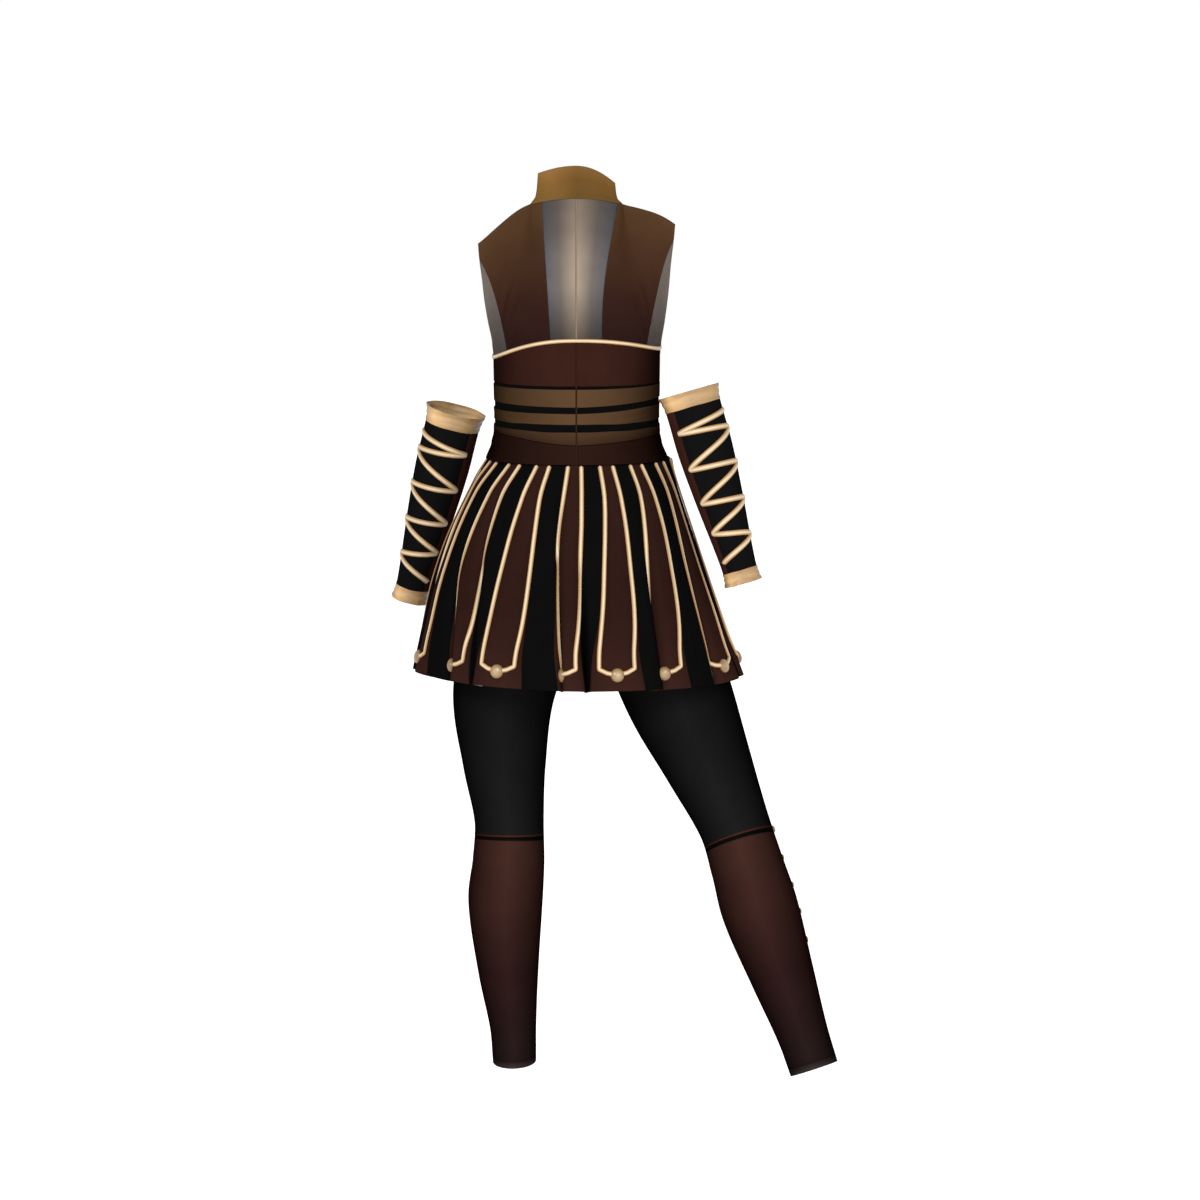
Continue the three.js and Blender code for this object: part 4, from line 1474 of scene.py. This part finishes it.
@dataclass
class Leggings:
    """Leggings: hips, thighs, knee bands, boot-look lower legs with laced shins, and hems.

    Attributes:
        legs: rows of each leg: share of the length, centre, half width and half depth.
        cuts: shares of the length where one piece ends and the next begins.
        shin_angle: direction that each laced shin faces, in degrees from +X.
        hips: rows of height, half width, depth behind and depth before of the hips.
        hips_shift: how far the middle of the hips is to the left of the waist's middle.
        waistband: share of the hips' height where the waist piece starts.
        root: shares of a leg's length between which it is joined to the hips.
        waist_top: height of the edge of the hips under the waist piece, in metres.
        skin_cell: size of the cells that join hips and legs into one skin, in metres.
        laced: share of the leg's length where the shin lacing starts and ends.
        lacing_corners: number of corners of the shin lacing.
        lacing_reach: angle from the middle of the shin to the corners of its lacing.
        stud_turn: angle from the middle of the shin to the knee stud.
    """

    legs: dict[Side, Rows] = field(default_factory=lambda: {
        Side.LEFT: (
            (0, 84, 8, -190, 86, 98), (0.12, 92, 8, -270, 86, 96), (0.26, 117, 6, -380, 79, 84),
            (0.4, 116, 2, -490, 65, 70), (0.52, 109, -2, -585, 54, 60), (0.6, 110, 8, -650, 56, 60),
            (0.69, 115, 16, -715, 58, 60), (0.82, 111, 10, -830, 47, 48), (0.93, 104, 2, -925, 36, 39),
            (1, 102, -1, -984, 33.5, 38)),
        Side.RIGHT: (
            (0, -98, 10, -190, 86, 98), (0.12, -120, 18, -270, 86, 96), (0.26, -163, 34, -380, 83, 86),
            (0.4, -208, 56, -482, 68, 72), (0.52, -248, 78, -574, 55, 61), (0.6, -268, 101, -635, 56, 61),
            (0.69, -288, 126, -700, 59, 61), (0.82, -322, 155, -798, 49, 50), (0.93, -353, 180, -885, 39, 41),
            (1, -371, 195, -938, 37, 40))})
    cuts: Sequence[float] = (0.2, 0.545, 0.557, 0.985, 1.0)
    shin_angle: dict[Side, float] = field(default_factory=lambda: {Side.LEFT: -60.0, Side.RIGHT: -130.0})
    hips: Rows = (
        (-292, 92, 52, 48), (-262, 138, 92, 84), (-215, 166, 122, 104), (-160, 169, 137, 108),
        (-110, 162, 136, 106), (-70, 152, 124, 102), (-20, 139, 104, 95))
    hips_shift: float = -4
    waistband: float = 0.868
    root: tuple[float, float] = (0.23, 0.02)
    waist_top: float = -0.0525
    skin_cell: float = 0.005
    laced: tuple[float, float] = (0.575, 0.8)
    lacing_corners: int = 9
    lacing_reach: float = 45.0
    stud_turn: float = 40.0

    def leg(self, side: Side) -> Surface:
        """Leg surface: u goes once round, v is the share of the length counted from the top.

        Args:
            side: side of the wearer.

        Returns:
            The surface.
        """
        rows = smooth_rows(self.legs[side])

        def place(u: Array, v: Array) -> Array:
            """Point of the leg.

            Args:
                u: share across, once round on a ring.
                v: share along.

            Returns:
                Points in millimetres.
            """
            values = rows(v)
            along = unit(rows(v + 0.01)[..., :3] - rows(v - 0.01)[..., :3])
            return limb_ring(values[..., :3], along, values[..., 3], values[..., 4], 2 * np.pi * u)

        return place

    def pelvis(self, inset: float) -> Surface:
        """Hips surface from under the crotch up to the waist, v going up.

        Args:
            inset: distance over the body.

        Returns:
            The surface.
        """
        profile = smooth_rows(self.hips)
        bottom, top = self.hips[0][0], self.hips[-1][0]

        def place(u: Array, v: Array) -> Array:
            """Point of the hips.

            Args:
                u: share across, once round on a ring.
                v: share along.

            Returns:
                Points in millimetres.
            """
            height = mix(bottom, top, v)
            width, back, front = np.moveaxis(profile(height), -1, 0)
            angle = 2 * np.pi * u
            depth = np.where(np.sin(angle) > 0, back, front) + inset
            return points((width + inset) * np.cos(angle) + self.hips_shift, depth * np.sin(angle), height)

        return place

    def build(self) -> None:
        """Makes every piece of the leggings."""
        self._hips()
        waist = patch(self.pelvis(0.0), 0, 1, self.waistband, 1.0)
        ClothPiece("leggings_waist_cloth", waist, "black_knit", "leggings", ["leggings_waist"], 128, 12,
                   ring=True).build()
        for side in Side:
            word = side.word
            surface = self.leg(side)
            top, knee, band, boot, ankle = self.cuts
            spans = (("thigh", "thigh_knit", top, knee, 96), ("knee_band", "knee_line", knee, band, 12),
                     ("boot", "boot_wine", band, boot, 120), ("ankle_hem", "hem_wine", boot, ankle, 8))
            for name, finish, low, high, rows in spans:
                shown = patch(surface, 0, -1, low, high)
                ClothPiece(f"{name}_cloth_{word}", shown, finish, "leggings", [f"{name}_{word}"],
                           96, rows, ring=True).build()
            Cord(f"shin_lace_{word}", self.lacing(surface, side), "leggings", [f"shin_lacing_{word}"],
                 5.5, 2.2, 420).build()
            turn = np.array(self.shin_angle[side] + side.value * self.stud_turn) / 360
            share = np.array(self.cuts[1] + 0.004)
            normal = -outward(surface, turn, share)
            centre = surface(turn, share) + normal * CLOTH
            Stud(f"knee_stud_{word}", centre, normal, "leggings", 6.0, 4.0).build()
        log.info("leggings: hips, legs, knee bands, hems and shin lacing made")

    def lacing(self, surface: Surface, side: Side) -> Path:
        """Zigzag lacing down the shin.

        Args:
            surface: surface of the leg.
            side: side of the wearer.

        Returns:
            Path of points and outward directions.
        """
        middle = self.shin_angle[side]
        corners = np.linspace(*self.laced, self.lacing_corners)
        return zigzag(surface, middle + self.lacing_reach, middle - self.lacing_reach, corners)

    def _hips(self) -> None:
        """Joins the pelvis and two leg roots into one skin and opens it at the waist and thighs."""
        legs = [self.leg(side) for side in Side]
        stacks = [self.pelvis(CLOTH)] + [patch(leg, 0, 1, *self.root) for leg in legs]
        grids = [lattice(surface, 96, 60) for surface in stacks]
        joined = closed_stack_object("leggings_hips_cloth", grids)
        remesh = joined.modifiers.new("join", "REMESH")
        remesh.mode = "VOXEL"
        remesh.voxel_size = self.skin_cell
        bpy.context.view_layer.update()
        graph = bpy.context.evaluated_depsgraph_get()
        skin = bpy.data.meshes.new_from_object(joined.evaluated_get(graph))
        joined.modifiers.clear()
        joined.data = skin
        relax_and_open(joined, legs, self.cuts[0] + 0.002, self.waist_top)
        skin.materials.append(FINISHES["black_knit"].material())
        wall = joined.modifiers.new("cloth_thickness", "SOLIDIFY")
        wall.thickness = 0.001
        wall.offset = -1
        settle(joined, "leggings", "black_cloth", ["leggings_hips"])
        surface_area(skin)


def surface_area(mesh: bpy.types.Mesh) -> float:
    """Sum of a mesh's face areas in square metres.

    Args:
        mesh: the mesh.

    Returns:
        The area.
    """
    areas = np.empty(len(mesh.polygons))
    mesh.polygons.foreach_get("area", areas)
    return float(areas.sum())


def closed_stack_object(name: str, grids: Sequence[Array]) -> bpy.types.Object:
    """One object of several capped stacks of rings, for joining into one skin.

    Args:
        name: name of the object.
        grids: points of each stack, its last column a copy of its first.

    Returns:
        The linked object.
    """
    vertices, faces = [], []
    for grid in grids:
        start = sum(len(block) for block in vertices)
        ring = grid[:, :-1]
        rows, columns = ring.shape[:2]
        vertices.append(ring.reshape(-1, 3) * MM)
        i, j = np.meshgrid(np.arange(columns), np.arange(rows - 1))
        i, j = i.ravel(), j.ravel()
        after = (i + 1) % columns
        low, high = j * columns, (j + 1) * columns
        quads = np.stack([low + i, low + after, high + after, high + i], axis=1)
        faces.extend((quads + start).tolist())
        faces.append((np.arange(columns)[::-1] + start).tolist())
        faces.append((np.arange(columns) + start + (rows - 1) * columns).tolist())
    mesh = bpy.data.meshes.new(name)
    mesh.from_pydata(np.concatenate(vertices).tolist(), [], faces)
    made = bpy.data.objects.new(name, mesh)
    bpy.context.scene.collection.objects.link(made)
    return made


def relax_and_open(made: bpy.types.Object, legs: Sequence[Surface], cut: float, top: float,
                   rounds: int = 12, leg_reach: float = 0.13) -> None:
    """Smooths a closed skin of quads, then opens it at the waist and at the thigh cuts.

    Each round moves every vertex half way to the mean of its neighbours. A face stays if one of
    its corners lies inside the planes of the openings; its corners past a plane are set on it.

    Args:
        made: object whose mesh is changed.
        legs: surfaces of the legs.
        cut: share of a leg's length where the skin ends.
        top: height of the waist edge in metres.
        rounds: number of rounds of smoothing.
        leg_reach: how far from a thigh's middle its plane cuts, so that the other leg is kept.
    """
    mesh = made.data
    count = len(mesh.vertices)
    place = np.empty(count * 3)
    mesh.vertices.foreach_get("co", place)
    place = place.reshape(-1, 3)
    edges = np.empty(len(mesh.edges) * 2, dtype=int)
    mesh.edges.foreach_get("vertices", edges)
    a, b = edges.reshape(-1, 2).T
    degree = np.bincount(np.concatenate([a, b]), minlength=count)[:, None]
    for _ in range(rounds):
        total = np.zeros_like(place)
        np.add.at(total, a, place[b])
        np.add.at(total, b, place[a])
        place = 0.5 * place + 0.5 * total / degree
    planes = [(np.array([0.0, 0.0, top]), np.array([0.0, 0.0, 1.0]), 1.0)]
    for leg in legs:
        ring = leg(np.arange(4) / 4, np.full(4, cut)) * MM
        axis = unit(np.cross(ring[0] - ring[2], ring[1] - ring[3]) * 1e3)
        planes.append((ring.mean(axis=0), -axis * np.sign(axis[2]), leg_reach))
    outside = np.zeros(count, dtype=bool)
    for centre, out, reach in planes:
        past = (place - centre) @ out
        beyond = (past > 0) & (np.linalg.norm(place - centre, axis=1) < reach)
        place = place - np.where(beyond, past, 0.0)[:, None] * out
        outside |= beyond
    corners = np.empty(len(mesh.loops), dtype=int)
    mesh.loops.foreach_get("vertex_index", corners)
    faces = corners.reshape(-1, 4)
    faces = faces[~outside[faces].all(axis=1)]
    used, index = np.unique(faces, return_inverse=True)
    place = place[used]
    mesh.clear_geometry()
    mesh.from_pydata(place.tolist(), [], index.reshape(-1, 4).tolist())
    mesh.polygons.foreach_set("use_smooth", np.ones(len(mesh.polygons), dtype=bool))
    around = np.arctan2(place[:, 1], place[:, 0]) * 0.15
    values = np.stack([around, place[:, 2]], axis=1)[index.ravel()]
    for layer in ("cloth", "share"):
        mesh.uv_layers.new(name=layer).data.foreach_set("uv", values.ravel())
    mesh.update()


def zigzag(surface: Surface, first: float, second: float, corners: Sequence[float],
           sharpness: float = 0.99) -> Path:
    """Zigzag lacing on a limb, its angle an arc sine of a cosine: a triangle wave with round corners.

    Args:
        surface: limb surface, u once round and v down.
        first: angle from +X where the lacing begins and turns at every other corner, in degrees.
        second: angle of the corners between those.
        corners: share of the limb's length at each corner.
        sharpness: 1 for a triangle wave, less for rounder corners.

    Returns:
        Path of points and outward directions.
    """

    def place(share: Array) -> tuple[Array, Array]:
        """Points and outward directions.

        Args:
            share: share along the path.

        Returns:
            Points and outward directions.
        """
        crossing = share * (len(corners) - 1)
        wave = np.arcsin(sharpness * np.cos(np.pi * crossing)) / np.arcsin(sharpness)
        u = mix(second, first, (wave + 1) / 2) / 360
        v = np.interp(crossing, np.arange(len(corners)), corners)
        normal = -outward(surface, u, v)
        return surface(u, v) + normal * (CLOTH + 0.2), normal

    return place


@dataclass
class Gauntlet:
    """Laced forearm sleeve with a cuff at each end.

    Attributes:
        side: side of the wearer.
        top: centre of the upper edge.
        foot: centre of the lower edge.
        radii: rows of share, half width and half depth.
        cuff_end: lower edge of the upper cuff, as a share of the length.
        wrist_cuff: upper edge of the wrist cuff.
        corners: shares of the length where the lacing turns, outer and inner edge in turn.
        edges: angles from +X of the lacing's outer and inner edge.
        cord: width and height of the lacing cord.
    """

    side: Side
    top: tuple[float, float, float]
    foot: tuple[float, float, float]
    radii: Rows = (
        (0, 45, 44), (0.07, 42, 42), (0.3, 41.5, 41), (0.55, 36, 36), (0.8, 28.5, 29), (0.93, 25.5, 27),
        (1, 26.5, 28))
    cuff_end: float = 0.075
    wrist_cuff: float = 0.935
    corners: Sequence[float] = (0.13, 0.19, 0.22, 0.38, 0.4, 0.56, 0.585, 0.72, 0.77, 0.88)
    edges: dict[Side, tuple[float, float]] = field(default_factory=lambda: {
        Side.LEFT: (6.0, 137.0), Side.RIGHT: (174.0, 43.0)})
    cord: tuple[float, float] = (9.0, 2.6)

    def surface(self, u: Array, v: Array) -> Array:
        """Sleeve surface: u goes once round, v is the share of the length from the elbow.

        Args:
            u: share across, once round on a ring.
            v: share along.

        Returns:
            Points in millimetres.
        """
        top, foot = np.array(self.top, float), np.array(self.foot, float)
        centre = top + (foot - top) * np.asarray(v)[..., None]
        along = np.broadcast_to(unit(foot - top), centre.shape)
        half_width, half_depth = np.moveaxis(smooth_rows(self.radii)(v), -1, 0)
        return limb_ring(centre, along, half_width, half_depth, 2 * np.pi * u)

    def build(self) -> None:
        """Makes the two cuffs, the sleeve and the lacing."""
        word = self.side.word
        body = f"{word}_gauntlet"

        def cuff(low: float, high: float, flare: float) -> Surface:
            """Cuff whose free edge waves and flares.

            Args:
                low: share where it begins.
                high: share where it ends.
                flare: how far the free edge stands out in millimetres.

            Returns:
                The surface.
            """

            def place(u: Array, v: Array) -> Array:
                """Point of the cuff.

                Args:
                    u: share across, once round on a ring.
                    v: share along.

                Returns:
                    Points in millimetres.
                """
                share = mix(low, high, v)
                base = self.surface(-u, share)
                lip = (1 - v) if low < 0.5 else v
                angle = 2 * np.pi * u
                wave = flare * lip**3 * (1 + 0.5 * np.sin(9 * angle + 0.6) + 0.4 * np.sin(14 * angle))
                rolls = 0.5 * np.sin(v * np.pi * 5 + 1.2 * np.sin(3 * angle))
                out = unit(base - np.mean(base, axis=-2, keepdims=True))
                return base + out * (wave + rolls)[..., None]

            return place

        # The gold_knit cuffs carry painted highlights in two bands round them, with painted shade between.
        ClothPiece(f"upper_cuff_cloth_{word}", cuff(-0.004, self.cuff_end, 1.2), "gold_knit", body,
                   [f"upper_cuff_{word}"], 160, 24, ring=True, lift=2.0, thickness=1.4,
                   reverse="gold_knit").build()
        sleeve = patch(self.surface, 0, -1, self.cuff_end, self.wrist_cuff)
        ClothPiece(f"sleeve_cloth_{word}", sleeve, f"sleeve_{word}", body, [f"gauntlet_sleeve_{word}"],
                   144, 96, ring=True).build()
        ClothPiece(f"wrist_cuff_cloth_{word}", cuff(self.wrist_cuff, 1.004, 1.0), "gold_knit", body,
                   [f"wrist_cuff_{word}"], 128, 20, ring=True, lift=2.0, thickness=1.4,
                   reverse="gold_knit").build()
        lace = zigzag(self.surface, *self.edges[self.side], self.corners)
        Cord(f"lace_{word}", lace, body, [f"gauntlet_lacing_{word}"], *self.cord, 600).build()
        log.info("%s gauntlet made", word)


# ---------------------------------------------------------------- studio


@dataclass
class Studio:
    """Pale floor, soft lights and the camera behind the wearer.

    Attributes:
        distance: from the camera to its target, in metres.
        rise: angle of the camera above the horizon, in degrees.
        target: point that the camera looks at.
        frame_width: width of the view at the target.
        floor: height of the floor under the wearer's soles.
        floor_half: half width of the floor.
        floor_grey: reflectance of the floor.
        floor_glow: strength of its own light.
        lamps: rows of name, place, power in watts and width.
    """

    distance: float = 5.5
    rise: float = 9.2
    target: tuple[float, float, float] = (-0.0365, 0.0, -0.228)
    frame_width: float = 1.902
    floor: float = -1.06
    floor_half: float = 12.0
    floor_grey: float = 0.92
    floor_glow: float = 0.3
    lamps: Sequence[tuple[str, tuple[float, float, float], float, float]] = (
        ("key", (1.4, 4.4, 2.2), 230.0, 1.6), ("fill", (-2.2, 4.0, 0.8), 90.0, 2.0))

    def build(self) -> None:
        """Makes the floor, the white surroundings, the lamps and the camera."""
        self._floor()
        world = bpy.data.worlds.new("white_room")
        bpy.context.scene.world = world
        world.use_nodes = True
        background = world.node_tree.nodes["Background"]
        background.inputs["Color"].default_value = WHITE
        background.inputs["Strength"].default_value = 1.0
        for name, place, power_w, width in self.lamps:
            light = bpy.data.lights.new(name, "AREA")
            light.energy = power_w
            light.size = width
            lamp = bpy.data.objects.new(name, light)
            lamp.location = place
            lamp.rotation_euler = (Vector(self.target) - Vector(place)).to_track_quat("-Z", "Y").to_euler()
            bpy.context.scene.collection.objects.link(lamp)
        self._camera()
        bpy.context.scene.view_settings.view_transform = "Standard"

    def _floor(self) -> None:
        """Makes the pale floor, which glows a little so that it melts into the white room."""
        mesh = bpy.data.meshes.new("floor")
        half = self.floor_half
        turns = ((-half, -half), (half, -half), (half, half), (-half, half))
        corners = [(x, y, self.floor) for x, y in turns]
        mesh.from_pydata(corners, [], [(0, 1, 2, 3)])
        floor = bpy.data.objects.new("floor", mesh)
        bpy.context.scene.collection.objects.link(floor)
        pale = bpy.data.materials.new("pale_floor")
        pale.use_nodes = True
        shader = pale.node_tree.nodes["Principled BSDF"]
        shader.inputs["Base Color"].default_value = (self.floor_grey,) * 3 + (1,)
        shader.inputs["Roughness"].default_value = 0.9
        shader.inputs["Emission Color"].default_value = WHITE
        shader.inputs["Emission Strength"].default_value = self.floor_glow
        mesh.materials.append(pale)

    def _camera(self) -> None:
        """Makes the camera behind the wearer, its lens set so that the frame's width is in view."""
        lens = bpy.data.cameras.new("camera")
        lens.sensor_width = 36.0
        lens.lens = lens.sensor_width * self.distance / self.frame_width
        lens.clip_end = 50.0
        camera = bpy.data.objects.new("camera", lens)
        rise = math.radians(self.rise)
        away = Vector((0.0, math.cos(rise), math.sin(rise))) * self.distance
        camera.location = Vector(self.target) + away
        camera.rotation_euler = (-away).to_track_quat("-Z", "Y").to_euler()
        bpy.context.scene.collection.objects.link(camera)
        bpy.context.scene.camera = camera


def main() -> None:
    """Builds the uniform piece by piece."""
    logging.basicConfig(level=logging.INFO, format="%(message)s")
    Studio().build()
    torso = Torso()
    Bodice(torso).build()
    Waist(torso).build()
    Skirt(drop=-node_span("skirt_panel_2")[0]).build()
    Leggings().build()
    Gauntlet(Side.LEFT, (193, -80, 65), (271, -110, -243)).build()
    Gauntlet(Side.RIGHT, (-174, 78, 111), (-259, 110, -182)).build()


if __name__ == "__main__":
    main()
